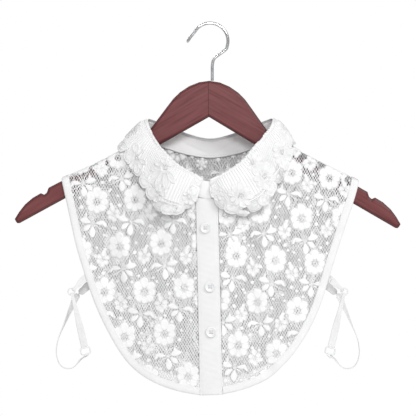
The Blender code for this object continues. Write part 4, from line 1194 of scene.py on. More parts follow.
def make_stand(cotton, stitching):
    """The folded band inside the neck, with its seams and a soft crease at the back."""
    places = np.linspace(0, LAST_STATION, 181)
    fold, seam = spline(NECK_STATIONS[:, :3], places), spline(NECK_STATIONS[:, 3:], places)
    meet_fold = np.array([fold[-1], STAND_FRONT_MEETING[0], fold[0]])
    meet_seam = np.array([seam[-1], STAND_FRONT_MEETING[1], seam[0]])
    close = np.linspace(0, 2, 11)[1:-1]
    top = np.vstack((fold, spline(meet_fold, close)))
    base = np.vstack((seam, spline(meet_seam, close)))
    up = unit_rows(top - base)
    top, base = top - up * SEAM_GAP, base + up * SEAM_GAP
    along = np.roll(base, -1, axis=0) - np.roll(base, 1, axis=0)
    normal = unit_rows(np.column_stack((along[:, 1], -along[:, 0], np.zeros(len(along)))))
    flip = np.sum(normal[:, :2] * base[:, :2], axis=1) < 0
    normal[flip] *= -1
    rows = []
    for share, inward in STAND_SECTION:
        point = base + (top - base) * share
        depth = np.full(len(base), inward)
        if inward > 1.0:
            for x, level, tilt, length, deep in STAND_CREASES:
                offset = (share - level) * 20.0 - tilt * (base[:, 0] - x)
                near = np.exp(-((base[:, 0] - x) / length) ** 2 - (offset / 2.2) ** 2)
                depth = depth - deep * near * (base[:, 1] > 10.0)
        rows.append(point - normal * depth[:, None])
    sections = np.stack(rows, axis=1)
    stand = loft("stand_cloth", sections, cotton, ring=True)
    for share in (0.88, 0.12):
        inner_line = base + (top - base) * share - normal * 1.5
        add_stitches(stitching, inner_line[:181], -normal[:181], pitch=2.8, length=2.0, radius=0.3)
    return stand, float(np.sum(np.linalg.norm(along, axis=1)) / 2)


# Collar fall
FALL_LIFT = 2.2
FALL_RISE = 2.4
FALL_EDGE = np.array((
    # edge x, edge y, edge z, a row for each station of the neck
    (-44.0, -40.0, -220.0),
    (-57.5, -36.0, -217.0),
    (-71.0, -28.0, -199.5),
    (-84.0, -20.0, -177.0),
    (-95.5, -15.0, -160.0),
    (-104.0, -8.0, -149.0),
    (-106.5, 0.0, -143.6),
    (-104.0, 9.0, -150.0),
    (-95.0, 17.0, -159.5),
    (-71.0, 28.0, -170.0),
    (-38.0, 34.5, -179.0),
    (0.0, 37.0, -183.0),
    (38.0, 34.5, -179.0),
    (69.0, 28.0, -170.0),
    (88.0, 17.0, -158.0),
    (96.0, 9.0, -147.5),
    (97.5, 0.0, -138.8),
    (96.0, -8.0, -147.0),
    (92.5, -15.0, -157.5),
    (84.0, -20.0, -175.5),
    (73.0, -28.0, -194.5),
    (61.0, -35.0, -211.0),
    (41.0, -40.0, -219.5),
))
LEFT_FRONT_EDGE = (
    # x, z down the short front edge of the left leaf
    (-5.0, -181.6),
    (-10.8, -191.0),
    (-15.0, -202.5),
    (-23.5, -211.6),
    (-33.5, -217.6),
    (-44.0, -220.0),
)
RIGHT_FRONT_EDGE = (
    # x, z down the short front edge of the right leaf
    (-3.0, -181.6),
    (-1.5, -190.0),
    (2.0, -200.5),
    (9.0, -210.5),
    (21.5, -217.6),
    (41.0, -219.5),
)
FALL_SPREAD_SHARE = 0.55
FALL_ROLL = 6.5
FALL_CREST = 1.0
FALL_BELLY = 3.5
FALL_BELLY_PLACE = 0.62
LEAF_END_SHARE = 0.085
LEAF_TOP_LIFT = 3.2
LEAF_DEPTHS = (-38.6, -36.6)


def fall_section(places, s):
    """Points of the fall at places on the neck, s of the way from the fold to the edge."""
    top = spline(NECK_STATIONS[:, :3], places) + (0.0, 0.0, FALL_RISE)
    rim = spline(FALL_EDGE, places)
    away = unit_rows(top * (FALL_SPREAD_SHARE, 1.0, 0.0))
    first = top + away * FALL_ROLL + (0.0, 0.0, FALL_CREST)
    second = top + (rim - top) * FALL_BELLY_PLACE + away * FALL_BELLY
    s = s[:, None]
    point = top * (1 - s) ** 3 + first * (3 * s * (1 - s) ** 2)
    return point + second * (3 * s * s * (1 - s)) + rim * s ** 3


def front_leaf(side, share, s):
    """Points between a leaf's short front edge and the fall's first or last section."""
    route = LEFT_FRONT_EDGE if side == "left" else RIGHT_FRONT_EDGE
    station = 0.0 if side == "left" else float(LAST_STATION)
    flat = spline(route, s * (len(route) - 1))
    x, z = flat[:, 0], flat[:, 1]
    lift = FALL_LIFT + LEAF_TOP_LIFT * (1.0 - s)
    least = LEAF_DEPTHS[0] + (LEAF_DEPTHS[1] - LEAF_DEPTHS[0]) * s
    y = np.minimum(cloth_depth(x, z, "front") - lift, least)
    border = np.column_stack((x, y, z + FALL_RISE * (1.0 - s) ** 3))
    section = fall_section(np.full(len(s), station), s)
    return border + (section - border) * share[:, None]


def fall_point(share, s):
    """Points of the fall, share of the way from its left front edge to its right one."""
    share, s = np.broadcast_arrays(np.asarray(share, float), np.asarray(s, float))
    share, s = share.ravel(), s.ravel()
    inner = np.clip((share - LEAF_END_SHARE) / (1.0 - 2 * LEAF_END_SHARE), 0.0, 1.0)
    point = fall_section(LAST_STATION * inner, s)
    left, right = share < LEAF_END_SHARE, share > 1.0 - LEAF_END_SHARE
    point[left] = front_leaf("left", share[left] / LEAF_END_SHARE, s[left])
    point[right] = front_leaf("right", (1.0 - share[right]) / LEAF_END_SHARE, s[right])
    # kept clear of the panels
    x, y, z = point[:, 0], point[:, 1], point[:, 2]
    near = shoulder_height(x) - z >= -FALL_LIFT
    front, back = near & (y < -WRAP_FLAT), near & (y > WRAP_FLAT)
    over = near & ~front & ~back
    y = np.where(front, np.minimum(y, cloth_depth(x, z, "front") - FALL_LIFT), y)
    y = np.where(back, np.maximum(y, cloth_depth(x, z, "back") + FALL_LIFT), y)
    z = np.where(over, np.maximum(z, shoulder_height(x) + FALL_LIFT), z)
    return np.column_stack((x, y, z))


GROUND_OUT = 0.95
GROUND_THICKNESS = 0.6
GROUND_ROWS = 51
GROUND_COLUMNS = (10, 402)
GROUND_END = 0.87
GROUND_START = 0.2
RIB_HEIGHT = 0.1


def ground_grid(end):
    """The fall's points on a grid of columns and rows, with their outward normals."""
    end_columns, columns = GROUND_COLUMNS
    start = LEAF_END_SHARE * GROUND_START if end < 1.0 else 0.0
    shares = np.concatenate((
        np.linspace(start, LEAF_END_SHARE, end_columns + 1)[:-1],
        np.linspace(LEAF_END_SHARE, 1.0 - LEAF_END_SHARE, columns + 1),
        np.linspace(1.0 - LEAF_END_SHARE, 1.0 - start, end_columns + 1)[1:],
    ))
    rows = np.linspace(0.0, end, GROUND_ROWS + 1)
    u, v = np.meshgrid(shares, rows, indexing="ij")
    grid = fall_point(u, v).reshape(len(shares), len(rows), 3)
    across, down = np.gradient(grid, axis=0), np.gradient(grid, axis=1)
    normal = unit_rows(np.cross(down, across))
    middle = normal[len(shares) // 2, len(rows) // 2]
    if middle[1] < 0:
        normal = -normal
    return grid, normal


def make_collar_ground(finish):
    """The collar's openwork ground: ribs down from the fold, with bars between them."""
    grid, normal = ground_grid(GROUND_END)
    columns, rows = grid.shape[:2]
    i, j = np.meshgrid(np.arange(columns), np.arange(rows), indexing="ij")
    rib = np.where(i % 2 == 1, RIB_HEIGHT, 0.0) * smooth_step(j / 4.0)
    outer = grid + normal * (GROUND_OUT + rib)[..., None]
    inner = grid + normal * (GROUND_OUT - GROUND_THICKNESS)
    low, high = np.meshgrid(np.arange(columns - 1), np.arange(rows - 1), indexing="ij")
    hole = (high % 2 == 0) & ((low + high // 2) % 2 == 0) & (high > rows * 0.84) & (high < rows - 5)
    hole &= (low > 3) & (low < columns - 5)
    solid = ~hole
    points = np.concatenate((outer.reshape(-1, 3), inner.reshape(-1, 3)))
    half = columns * rows
    ids = np.arange(half).reshape(columns, rows)
    a, b = ids[:-1, :-1][solid], ids[1:, :-1][solid]
    c, d = ids[1:, 1:][solid], ids[:-1, 1:][solid]
    faces = [np.column_stack((a, d, c, b)), np.column_stack((a, b, c, d)) + half]
    padded = np.zeros((columns + 1, rows + 1), bool)
    padded[1:-1, 1:-1] = solid
    # walls wherever a kept cell meets a hole or the edge
    for di, dj, first, second in ((1, 0, (1, 1), (1, 0)), (-1, 0, (0, 0), (0, 1)),
                                  (0, 1, (0, 1), (1, 1)), (0, -1, (1, 0), (0, 0))):
        beyond = padded[1 + di:columns + di, 1 + dj:rows + dj]
        at = solid & ~beyond
        ci, cj = np.nonzero(at)
        p, q = ids[ci + first[0], cj + first[1]], ids[ci + second[0], cj + second[1]]
        faces.append(np.column_stack((p, q, q + half, p + half)))
    faces = np.vstack(faces)
    a, b, c = points[faces[:, 0]], points[faces[:, 1]], points[faces[:, 2]]
    out_side = np.sum(np.cross(b - a, c - a)[:1000] * normal.reshape(-1, 3)[faces[:1000, 0] % half])
    if out_side < 0:
        faces = faces[:, ::-1]
    return mesh_object("collar_ground", points, faces.tolist(), finish)


class CollarSurface:
    """The outer face of the collar, to seat motifs on."""

    def __init__(self):
        grid, normal = ground_grid(1.0)
        outer = (grid + normal * GROUND_OUT).reshape(-1, 3)
        columns, rows = grid.shape[:2]
        ids = np.arange(columns * rows).reshape(columns, rows)
        faces = np.column_stack((ids[:-1, :-1].ravel(), ids[:-1, 1:].ravel(),
                                 ids[1:, 1:].ravel(), ids[1:, :-1].ravel()))
        self.tree = BVHTree.FromPolygons(outer.tolist(), faces.tolist())
        self.normals = normal.reshape(-1, 3)
        self.outer = outer
        self.faces = faces

    def seat(self, point):
        """The nearest point of the face and its outward normal."""
        place, _, index, _ = self.tree.find_nearest(Vector(point))
        return np.array(place), self.normals[self.faces[index][0]]

    def frame(self, point, toward):
        """A point's place and its axes: along, down towards the given way, and outward."""
        place, normal = self.seat(point)
        down = toward - normal * np.dot(toward, normal)
        down = down / np.linalg.norm(down)
        along = np.cross(down, normal)
        return place, along, down, normal

    def front(self, x, z):
        """The point of the face that is seen from the front at a place."""
        hit, _, _, _ = self.tree.ray_cast(Vector((x, -100.0, z)), Vector((0.0, 1.0, 0.0)))
        return np.array(hit) if hit is not None else self.seat((x, -30.0, z))[0]

    def room(self, here, degrees, length):
        """How long a petal may be at an angle before its tip leaves the leaf."""
        place, along, down, _ = here
        c, s = math.cos(math.radians(degrees)), math.sin(math.radians(degrees))
        while length > 4.0:
            tip = place + (along * c - down * s) * length
            seat, normal = self.seat(tip)
            off = tip - seat
            if np.linalg.norm(off - normal * np.dot(off, normal)) < PETAL_FIT:
                break
            length *= 0.93
        return length

    def lay(self, solid, relief, frame):
        """Seats a flat motif's points on the face round a frame."""
        place, along, down, normal = frame
        points, faces = relief.joined()
        laid_points = []
        for a, b, height in points:
            seat, out = self.seat(place + along * a - down * b)
            laid_points.append(seat + out * height)
        solid.add(laid_points, faces[:, ::-1] if np.dot(np.cross(along, -down), normal) < 0 else faces)


SCALLOP_STEP = 16.6
SCALLOP_WIDTH = 17.6
SCALLOP_DEPTH = 12.5
SCALLOP_ROOT = 0.36
SCALLOP_RINGS = ((0.94, 0.7), (0.7, 1.2), (0.0, 1.6))
SHELL_RIBS = (-0.95, -0.48, 0.0, 0.48, 0.95)
COLLAR_PETAL_RINGS = ((0.97, 1.0), (0.87, 2.2), (0.70, 1.2), (0.0, 1.4))
COLLAR_FLOWERS = (
    # x, z on the front, petals as angle and length
    (-51.0, -165.5, ((25, 15), (-6, 19), (-36, 29), (-66, 27), (-94, 26), (-122, 22),
                     (152, 13), (112, 15), (70, 12))),
    (-84.0, -154.0, ((-150, 15), (-120, 17), (-90, 19), (-60, 19), (-30, 17), (0, 14),
                     (40, 16), (80, 18), (120, 14))),
    (-60.0, -196.0, ((90, 12), (35, 10), (-20, 10), (-75, 10), (-130, 10), (180, 11), (135, 11))),
    (-24.0, -199.0, ((90, 10), (40, 9), (-10, 9), (-60, 9), (-110, 10), (-160, 11), (140, 11))),
    (34.4, -198.0, ((90, 17), (52, 16), (14, 16), (-24, 14), (-60, 13), (-98, 14),
                    (-136, 15), (180, 16), (135, 16))),
    (62.0, -176.0, ((100, 18), (62, 19), (24, 17), (-14, 15), (-52, 15), (-90, 16),
                    (-128, 16), (-170, 15), (140, 17))),
    (82.0, -148.0, ((100, 16), (60, 15), (20, 13), (-20, 14), (-60, 16), (-100, 17),
                    (-140, 15), (180, 14), (140, 15))),
    (9.0, -195.0, ((80, 9), (30, 9), (-20, 9), (-70, 9), (-120, 9), (-170, 9), (130, 9))),
    (66.0, -201.0, ((80, 9), (30, 8), (-20, 8), (-70, 8), (-120, 9), (-170, 10), (130, 10))),
    (48.0, -160.0, ((150, 14), (110, 13), (70, 12), (-60, 10), (-110, 13), (-160, 15))),
)
BACK_FLOWERS = (
    # share of the way round, share of the way down, petal length, petal count
    (0.36, 0.5, 17.0, 9),
    (0.43, 0.52, 13.0, 8),
    (0.50, 0.5, 17.0, 9),
    (0.57, 0.52, 13.0, 8),
    (0.64, 0.5, 17.0, 9),
    (0.305, 0.5, 13.0, 8),
    (0.695, 0.5, 13.0, 8),
)
COLLAR_HEART = 2.6
PETAL_FIT = 1.2
EYELETS = (
    # x, z of the first, x, z of the last, how many
    (74.0, -166.0, 84.0, -178.0, 6),
    (78.0, -163.0, 88.0, -175.0, 6),
)


def collar_flower(surface, here, petals):
    """A corded flower: long ribbed petals round a raised ring, each cut to the leaf's size."""
    relief = Relief()
    angles = sorted(angle % 360 for angle, _ in petals)
    for degrees, length in petals:
        length = surface.room(here, degrees, length)
        if length < 5.0:
            continue
        ahead = [(other - degrees) % 360 for other in angles if (other - degrees) % 360 > 1]
        behind = [(degrees - other) % 360 for other in angles if (degrees - other) % 360 > 1]
        spread = math.radians(min(min(ahead), min(behind), 50.0))
        width = min(max(spread * length * 0.72 * 1.12, 5.0), 13.0)
        outline = petal_outline(length, width, COLLAR_HEART, 16)
        relief.pad(from_root(outline, (0, 0), degrees), COLLAR_PETAL_RINGS, -0.5)
        ribs = 3 if width < 8.0 else 5
        for rib in np.linspace(-0.3, 0.3, ribs):
            reach = 0.9 - 1.1 * abs(rib)
            route = np.column_stack((np.linspace(COLLAR_HEART + 1.0, length * reach, 7),
                                     rib * width * np.linspace(0.25, 1.0, 7)))
            relief.cord(from_root(route, (0, 0), degrees), 0.42, lift=1.4)
    relief.cord(disc_outline(COLLAR_HEART * 0.85, 14), 0.6, closed=True, lift=1.7)
    relief.pad(disc_outline(COLLAR_HEART * 0.5, 8), ((0.75, 1.6), (0.0, 2.0)), -0.5)
    return relief


def scallop(kind):
    """A domed lobe of the collar's edge; in places it is a corded rim with net in it."""
    relief = Relief()
    t = math.tau * np.arange(22) / 22
    across = np.abs(np.cos(t)) ** 0.85 * np.sign(np.cos(t))
    bulge = np.abs(np.sin(t)) ** 0.8 * np.sign(np.sin(t))
    deep = np.where(bulge > 0, 1.0 - SCALLOP_ROOT, SCALLOP_ROOT) * SCALLOP_DEPTH
    outline = np.column_stack((SCALLOP_WIDTH / 2 * across,
                               deep * bulge - (1.0 - SCALLOP_ROOT) * SCALLOP_DEPTH))
    middle = outline.mean(axis=0)
    rim = middle + (outline - middle) * 0.93
    if kind == "solid":
        relief.pad(outline, SCALLOP_RINGS, -0.6)
        relief.cord(rim, 0.7, closed=True, lift=1.0)
        root = np.array((0.0, -SCALLOP_DEPTH * 0.92))
        relief.cord(root + (rim - root) * 0.7, 0.45, closed=True, lift=1.5)
        for lean in SHELL_RIBS:
            tip = np.array((math.sin(lean) * SCALLOP_WIDTH * 0.4, -1.8 - 2.0 * abs(lean)))
            relief.cord(root + (tip - root) * np.linspace(0.08, 1.0, 6)[:, None], 0.42, lift=1.5)
        return relief
    relief.pad(outline, ((0.95, 0.5), (0.8, 0.4), (0.0, 0.3)), -0.6)
    relief.cord(rim, 0.75, closed=True, lift=0.9)
    for share in (0.74, 0.5, 0.27):
        relief.cord(middle + (outline - middle) * share, 0.45, closed=True, lift=0.7)
    for angle in np.arange(0.0, 180.0, 22.5):
        c, s = math.cos(math.radians(angle)), math.sin(math.radians(angle))
        reach = np.array((SCALLOP_WIDTH / 2 * 0.86 * c, SCALLOP_DEPTH / 2 * 0.86 * s))
        relief.cord(middle + reach * np.linspace(-1.0, 1.0, 4)[:, None], 0.4, lift=0.6)
    relief.pad(disc_outline(1.1, 8) + middle, BUD_RINGS, -0.4)
    return relief


RIB_COUNT = 160
RIB_EVEN_DOWN = 0.55
PICOTS = 92
NO_PICOTS = 0.24
PICOT_RADIUS = 1.9
PICOT_RINGS = ((0.75, 0.9), (0.4, 1.2), (0.0, 1.25))
TANGENT_REACH = 8


def collar_rim(surface):
    """The collar's free edge as points, and the ways towards the inside of the leaf."""
    rows = np.linspace(0.16, 0.97, 60)
    shares = np.linspace(LEAF_END_SHARE, 1.0 - LEAF_END_SHARE, 600)
    edge = np.vstack((fall_point(0.0, rows), fall_point(shares, 1.0),
                      fall_point(1.0, rows[::-1])))
    edge = even(edge, 1.0)
    ahead = np.minimum(np.arange(len(edge)) + TANGENT_REACH, len(edge) - 1)
    behind = np.maximum(np.arange(len(edge)) - TANGENT_REACH, 0)
    along = unit_rows(edge[ahead] - edge[behind])
    outward = np.array([surface.seat(point)[1] for point in edge])
    return edge, unit_rows(np.cross(along, outward))


def make_collar_motifs(finish):
    """The raised work: scallops, rosettes, cords along the edge, and picots at the fold."""
    surface = CollarSurface()
    solid = Solid()
    edge, inward = collar_rim(surface)
    if inward[len(inward) // 2, 2] < 0:
        inward = -inward
    steps = np.linalg.norm(np.diff(edge, axis=0), axis=1)
    along = np.concatenate(([0.0], np.cumsum(steps)))
    count = int(round(along[-1] / SCALLOP_STEP))
    for k in range(count):
        where = along[-1] * (k + 0.5) / count
        point = np.array([np.interp(where, along, edge[:, i]) for i in range(3)])
        way = np.array([np.interp(where, along, inward[:, i]) for i in range(3)])
        relief = scallop("net" if k % 3 == 1 else "solid")
        surface.lay(solid, relief, surface.frame(point, way))
    down_way = np.array((0.0, 0.0, -1.0))
    for x, z, petals in COLLAR_FLOWERS:
        here = surface.frame(surface.front(x, z), down_way)
        surface.lay(solid, collar_flower(surface, here, petals), here)
    for share, down, length, count in BACK_FLOWERS:
        here = surface.frame(fall_point(share, down)[0], down_way)
        petals = [(15.0 + 360.0 * k / count, length) for k in range(count)]
        surface.lay(solid, collar_flower(surface, here, petals), here)
    shares = np.linspace(LEAF_END_SHARE * 0.3, 1.0 - LEAF_END_SHARE * 0.3, 520)
    for down, radius in ((0.8, 1.1), (0.755, 0.7), (0.11, 0.7), (0.16, 0.5)):
        add_surface_cord(solid, surface, fall_point(shares, down), radius)
    # fine ribs that lean to and fro like feathers
    downs = np.linspace(0.16, 0.78, 16)
    tried = np.linspace(LEAF_END_SHARE * 0.5, 1.0 - LEAF_END_SHARE * 0.5, 600)
    gaps = np.linalg.norm(np.diff(fall_point(tried, RIB_EVEN_DOWN), axis=0), axis=1)
    run = np.concatenate(([0.0], np.cumsum(gaps)))
    for share in np.interp(np.linspace(0.0, run[-1], RIB_COUNT), run, tried):
        lean = 0.018 * math.sin(share * math.tau * 9.0) * (downs - 0.16) ** 1.3
        add_surface_cord(solid, surface, fall_point(share + lean, downs), 0.85)
    for share in np.linspace(LEAF_END_SHARE * 0.4, 1.0 - LEAF_END_SHARE * 0.4, PICOTS):
        if abs(share - 0.5) < NO_PICOTS:
            continue
        relief = Relief()
        relief.pad(disc_outline(PICOT_RADIUS, 10), PICOT_RINGS, -0.5)
        surface.lay(solid, relief, surface.frame(fall_point(share, 0.07)[0], down_way))
    for first_x, first_z, last_x, last_z, count in EYELETS:
        for s in np.linspace(0.0, 1.0, count):
            x, z = first_x + (last_x - first_x) * s, first_z + (last_z - first_z) * s
            relief = Relief()
            relief.cord(disc_outline(1.3, 10), 0.45, closed=True, lift=1.5)
            surface.lay(solid, relief, surface.frame(surface.front(x, z), down_way))
    points, faces = solid.joined()
    return mesh_object("collar_motifs", points, faces, finish)


def add_surface_cord(solid, surface, route, radius):
    """A raised cord on the collar's face along a route."""
    seats = [surface.seat(point) for point in route]
    normals = np.array([normal for _, normal in seats])
    places = np.array([place for place, _ in seats]) + normals * radius * 0.4
    add_tube(solid, places, radius, 6, squeeze=normals)


# Side straps
ELASTIC = 1.0
STRAP_WIDTH = 8.0
RING_RADIUS = 3.9
RING_WIRE = 1.6
RING_SLACK = 0.3
RING_TURN = 0.945
NARROW_STRAP = 3.6
SLIDER_HALF_WIDTH = 5.4
SLIDER_HALF_HEIGHT = 3.6
SLIDER_WIRE = 1.7
STRAP_SEAT = 0.4
LAYER_SPREAD = 0.65
HAIRPIN_SHARES = (0.0, 0.35, 0.7, 0.93)
HAIRPIN_STRAIGHT = 0.9
HAIRPIN_TURN_STEPS = 6
LOOP_END_SKEW = 1.3
LOOP_LEAN = 0.4
TAB_HEIGHT = -293.0
LOOP_END_HEIGHT = -298.0
STRAPS = (
    # side, ring x, ring z, slider x, slider z
    ("left", -159.6, -308.0, -143.6, -376.2),
    ("right", 154.6, -308.0, 138.2, -376.2),
)
LOOP_ROUTE = (
    # outward from the slider, height, depth, share of the width turned into the depth
    (-0.6, -382.0, -9.6, 0.15),
    (4.8, -385.4, -8.8, 0.65),
    (9.9, -391.4, -7.8, 0.90),
    (14.5, -395.6, -6.8, 1.00),
    (20.4, -396.9, -5.6, 1.00),
    (26.9, -395.0, -4.4, 1.00),
    (31.5, -389.4, -3.0, 1.00),
    (34.0, -379.6, -1.4, 1.00),
    (33.4, -369.6, 0.4, 1.00),
    (31.0, -360.0, 2.0, 0.96),
    (26.4, -349.0, 4.0, 0.85),
    (21.4, -337.0, 6.0, 0.65),
    (16.2, -325.0, 7.6, 0.45),
    (10.6, -313.6, 8.8, 0.30),
)
STRAP_STEP = 1.2
STRAP_COLUMNS = 13


def hairpin(start, turn, plane, width, narrow, thickness, end_across=None):
    """Stations of a band that runs from start to turn, round a wire, and back behind itself."""
    way = turn - start
    along = way.normalized()
    across = along.cross(plane).normalized()
    end_across = end_across or across
    end_width = width / abs(end_across.dot(across))
    off = RING_WIRE / 2 + SEAM_GAP + RING_SLACK + thickness / 2

    def layer(share, face):
        ease = float(smooth_step(share / HAIRPIN_STRAIGHT))
        lift = LAYER_SPREAD + (off - LAYER_SPREAD) * ease
        size = width + (narrow - width) * float(smooth_step((share - 0.3) / 0.6))
        return start + way * share + plane * (lift * face), across, size

    stations = [layer(share, -1.0) for share in HAIRPIN_SHARES]
    for i in range(1, HAIRPIN_TURN_STEPS):
        angle = math.pi * i / HAIRPIN_TURN_STEPS
        place = turn + along * off * math.sin(angle) - plane * off * math.cos(angle)
        stations.append((place, across, narrow))
    stations += [layer(share, 1.0) for share in reversed(HAIRPIN_SHARES)]
    for i in (0, -1):
        stations[i] = (stations[i][0], end_across, end_width)
    return stations


def band(name, stations, finish):
    """A smooth flat elastic through stations, with a beaded edge and fine lengthwise ribs."""
    centre = np.array([tuple(point) for point, _, _ in stations])
    across = np.array([tuple(way.normalized()) for _, way, _ in stations])
    width = np.array([[size] for _, _, size in stations])
    steps = np.linalg.norm(np.diff(centre, axis=0), axis=1)
    along = np.concatenate(([0.0], np.cumsum(steps)))
    count = max(int(along[-1] / STRAP_STEP), 8)
    wanted = np.linspace(0.0, along[-1], count + 1)
    places = np.interp(wanted, along, np.arange(len(centre)))
    centre = spline(centre, places)
    width = np.column_stack([np.interp(places, np.arange(len(width)), width[:, 0])])
    across = np.column_stack([np.interp(places, np.arange(len(across)), across[:, i]) for i in range(3)])
    forward = unit_rows(np.gradient(centre, axis=0))
    square = across - forward * np.sum(across * forward, axis=1, keepdims=True)
    square[0], square[-1] = across[0], across[-1]
    across = unit_rows(square)
    normal = unit_rows(np.cross(forward, across))
    shares = np.linspace(-1.0, 1.0, STRAP_COLUMNS)
    rib = np.where(np.arange(STRAP_COLUMNS) % 2 == 0, -0.06, 0.06)
    height = (ELASTIC / 2 - 0.06) * np.sqrt(np.clip(1.0 - np.abs(shares) ** 6, 0.0, 1.0)) + rib
    height[0] = height[-1] = ELASTIC * 0.2
    profile = np.vstack((np.column_stack((shares, height)),
                         np.column_stack((shares, -height))[::-1]))
    sections = [[centre[i] + across[i] * s * width[i] / 2 + normal[i] * h for s, h in profile]
                for i in range(len(centre))]
    return loft(name, np.array(sections), finish), centre, across, normal, width


def bound_edge_point(face, side, height):
    """The point of the bound edge at a height, and the way the edge runs downward there."""
    rows = outline_rows(face, side)
    fine = spline(rows, np.linspace(0, len(rows) - 1, 361))
    index = 1 + int(np.argmin(np.abs(fine[1:, 1] - height)))
    (x, z), (before_x, before_z) = fine[index], fine[index - 1]
    depth = float(cloth_depth(x, z, face))
    depth -= math.copysign(WALL / 2, depth)
    way = Vector((x - before_x, 0.0, z - before_z)).normalized()
    return Vector((x, depth, z)), way


def make_straps(side, ring_x, ring_z, slider_x, slider_z, elastic, resin, thread):
    """The tab, the ring, the doubled elastic, the slider and the loop of one side."""
    out = -1.0 if side == "left" else 1.0
    outward = Vector((out, 0.0, 0.0))
    back = Vector((0.0, 1.0, 0.0))
    edge, edge_way = bound_edge_point("front", side, TAB_HEIGHT)
    ring = Vector((ring_x, edge.y, ring_z))
    slider = Vector((slider_x, edge.y, slider_z))
    t = math.tau * np.arange(56) / 56
    circle = np.array(ring) + RING_RADIUS * np.column_stack((np.cos(t), np.zeros(56), np.sin(t)))
    made = {f"strap_ring_{side}": tube_object(f"ring_{side}", circle, RING_WIRE / 2, 16, resin, ring=True)}

    start = edge + outward * STRAP_SEAT
    turn = ring - (ring - start).normalized() * RING_RADIUS * RING_TURN
    stations = hairpin(start, turn, back, STRAP_WIDTH, NARROW_STRAP, ELASTIC, edge_way)
    tab, centre, across, normal, width = band(f"tab_elastic_{side}", stations, elastic)
    made[f"strap_tab_{side}"] = tab

    to_slider = (slider - ring).normalized()
    down = ring + to_slider * RING_RADIUS * RING_TURN
    end = slider - to_slider * (SLIDER_HALF_HEIGHT + SLIDER_WIRE / 2 + SEAM_GAP)
    stations = hairpin(end, down, back, STRAP_WIDTH, NARROW_STRAP, ELASTIC)
    made[f"strap_double_{side}"] = band(f"doubled_elastic_{side}", stations, elastic)[0]

    sideways = to_slider.cross(back).normalized()
    rounding = 1.6
    corner = []
    for a, b, first in ((-1, -1, 180), (1, -1, 270), (1, 1, 0), (-1, 1, 90)):
        for step in range(7):
            angle = math.radians(first + 15 * step)
            corner.append((a * (SLIDER_HALF_WIDTH - rounding) + rounding * math.cos(angle),
                           b * (SLIDER_HALF_HEIGHT - rounding) + rounding * math.sin(angle)))
    route = np.array([tuple(slider + sideways * a + to_slider * b) for a, b in corner])
    made[f"strap_slider_{side}"] = tube_object(f"slider_{side}", route, SLIDER_WIRE / 2, 14, resin,
                                               ring=True)

    stations = []
    flat = Vector((1.0, 0.0, -LOOP_LEAN * out))
    for outer, z, depth, turned in LOOP_ROUTE:
        point = Vector((slider_x + out * outer, depth, z))
        stations.append((point, (flat * (1.0 - turned) + back * turned).normalized(), STRAP_WIDTH))
    edge, edge_way = bound_edge_point("back", side, LOOP_END_HEIGHT)
    end = edge + outward * STRAP_SEAT
    before = stations[-1][0]
    stations.append((before.lerp(end, 0.5), edge_way, STRAP_WIDTH))
    stations.append((end, edge_way, STRAP_WIDTH * LOOP_END_SKEW))
    # the width's way is kept on one side all along
    for i in range(1, len(stations)):
        if stations[i][1].dot(stations[i - 1][1]) < 0:
            stations[i] = (stations[i][0], -stations[i][1], stations[i][2])
    made[f"strap_loop_{side}"] = band(f"loop_elastic_{side}", stations, elastic)[0]

    stitches = Solid()
    for place in (2, 3):
        spread = np.linspace(-0.4, 0.4, 9)[:, None]
        row = centre[place] + across[place] * spread * width[place] + normal[place] * ELASTIC / 2
        add_stitches(stitches, row, np.tile(normal[place], (9, 1)), pitch=1.5, length=1.1, radius=0.18)
    points, faces = stitches.joined()
    return made, mesh_object(f"tab_stitching_{side}", points, faces, thread)


HOOK_WIRE = 3.6
HOOK_CENTRE = (-0.2, -18.9)
HOOK_RADIUS = HOOK_WIRE / 2 - HOOK_CENTRE[1]
HOOK_FIRST_ANGLE = math.radians(152)
HOOK_LAST_ANGLE = math.radians(-28)
HOOK_TIP = ((-26.6, -20.6), (-23.6, -15.4))
HOOK_NECK = ((10.6, -34.2), (4.6, -39.4), (2.6, -46.0), (2.4, -56.0), (2.4, -64.6))


def make_hook(steel):
    """The bent wire hook, with a rounded tip."""
    angles = np.linspace(HOOK_FIRST_ANGLE, HOOK_LAST_ANGLE, 17)
    arc = np.column_stack((HOOK_CENTRE[0] + HOOK_RADIUS * np.cos(angles),
                           HOOK_CENTRE[1] + HOOK_RADIUS * np.sin(angles)))
    flat = np.vstack((HOOK_TIP, arc, HOOK_NECK))
    flat = even(spline(flat, np.linspace(0, len(flat) - 1, 400)), 0.8)
    route = np.column_stack((flat[:, 0], np.zeros(len(flat)), flat[:, 1]))
    radius = np.full(len(route), HOOK_WIRE / 2)
    tip = np.arange(4)
    radius[:4] *= np.sqrt(1.0 - (1.0 - (tip + 0.25) / 4.25) ** 2)
    return tube_object("hook_wire", route, radius, 24, steel)


def principled(name, colour, roughness, **sockets):
    """A material with a Principled shader, and its node tree and shader."""
    material = bpy.data.materials.new(name)
    material.use_nodes = True
    tree = material.node_tree
    shader = tree.nodes["Principled BSDF"]
    shader.inputs["Base Color"].default_value = (*colour, 1.0)
    shader.inputs["Roughness"].default_value = roughness
    for socket, value in sockets.items():
        shader.inputs[socket.replace("_", " ")].default_value = value
    return material, tree, shader


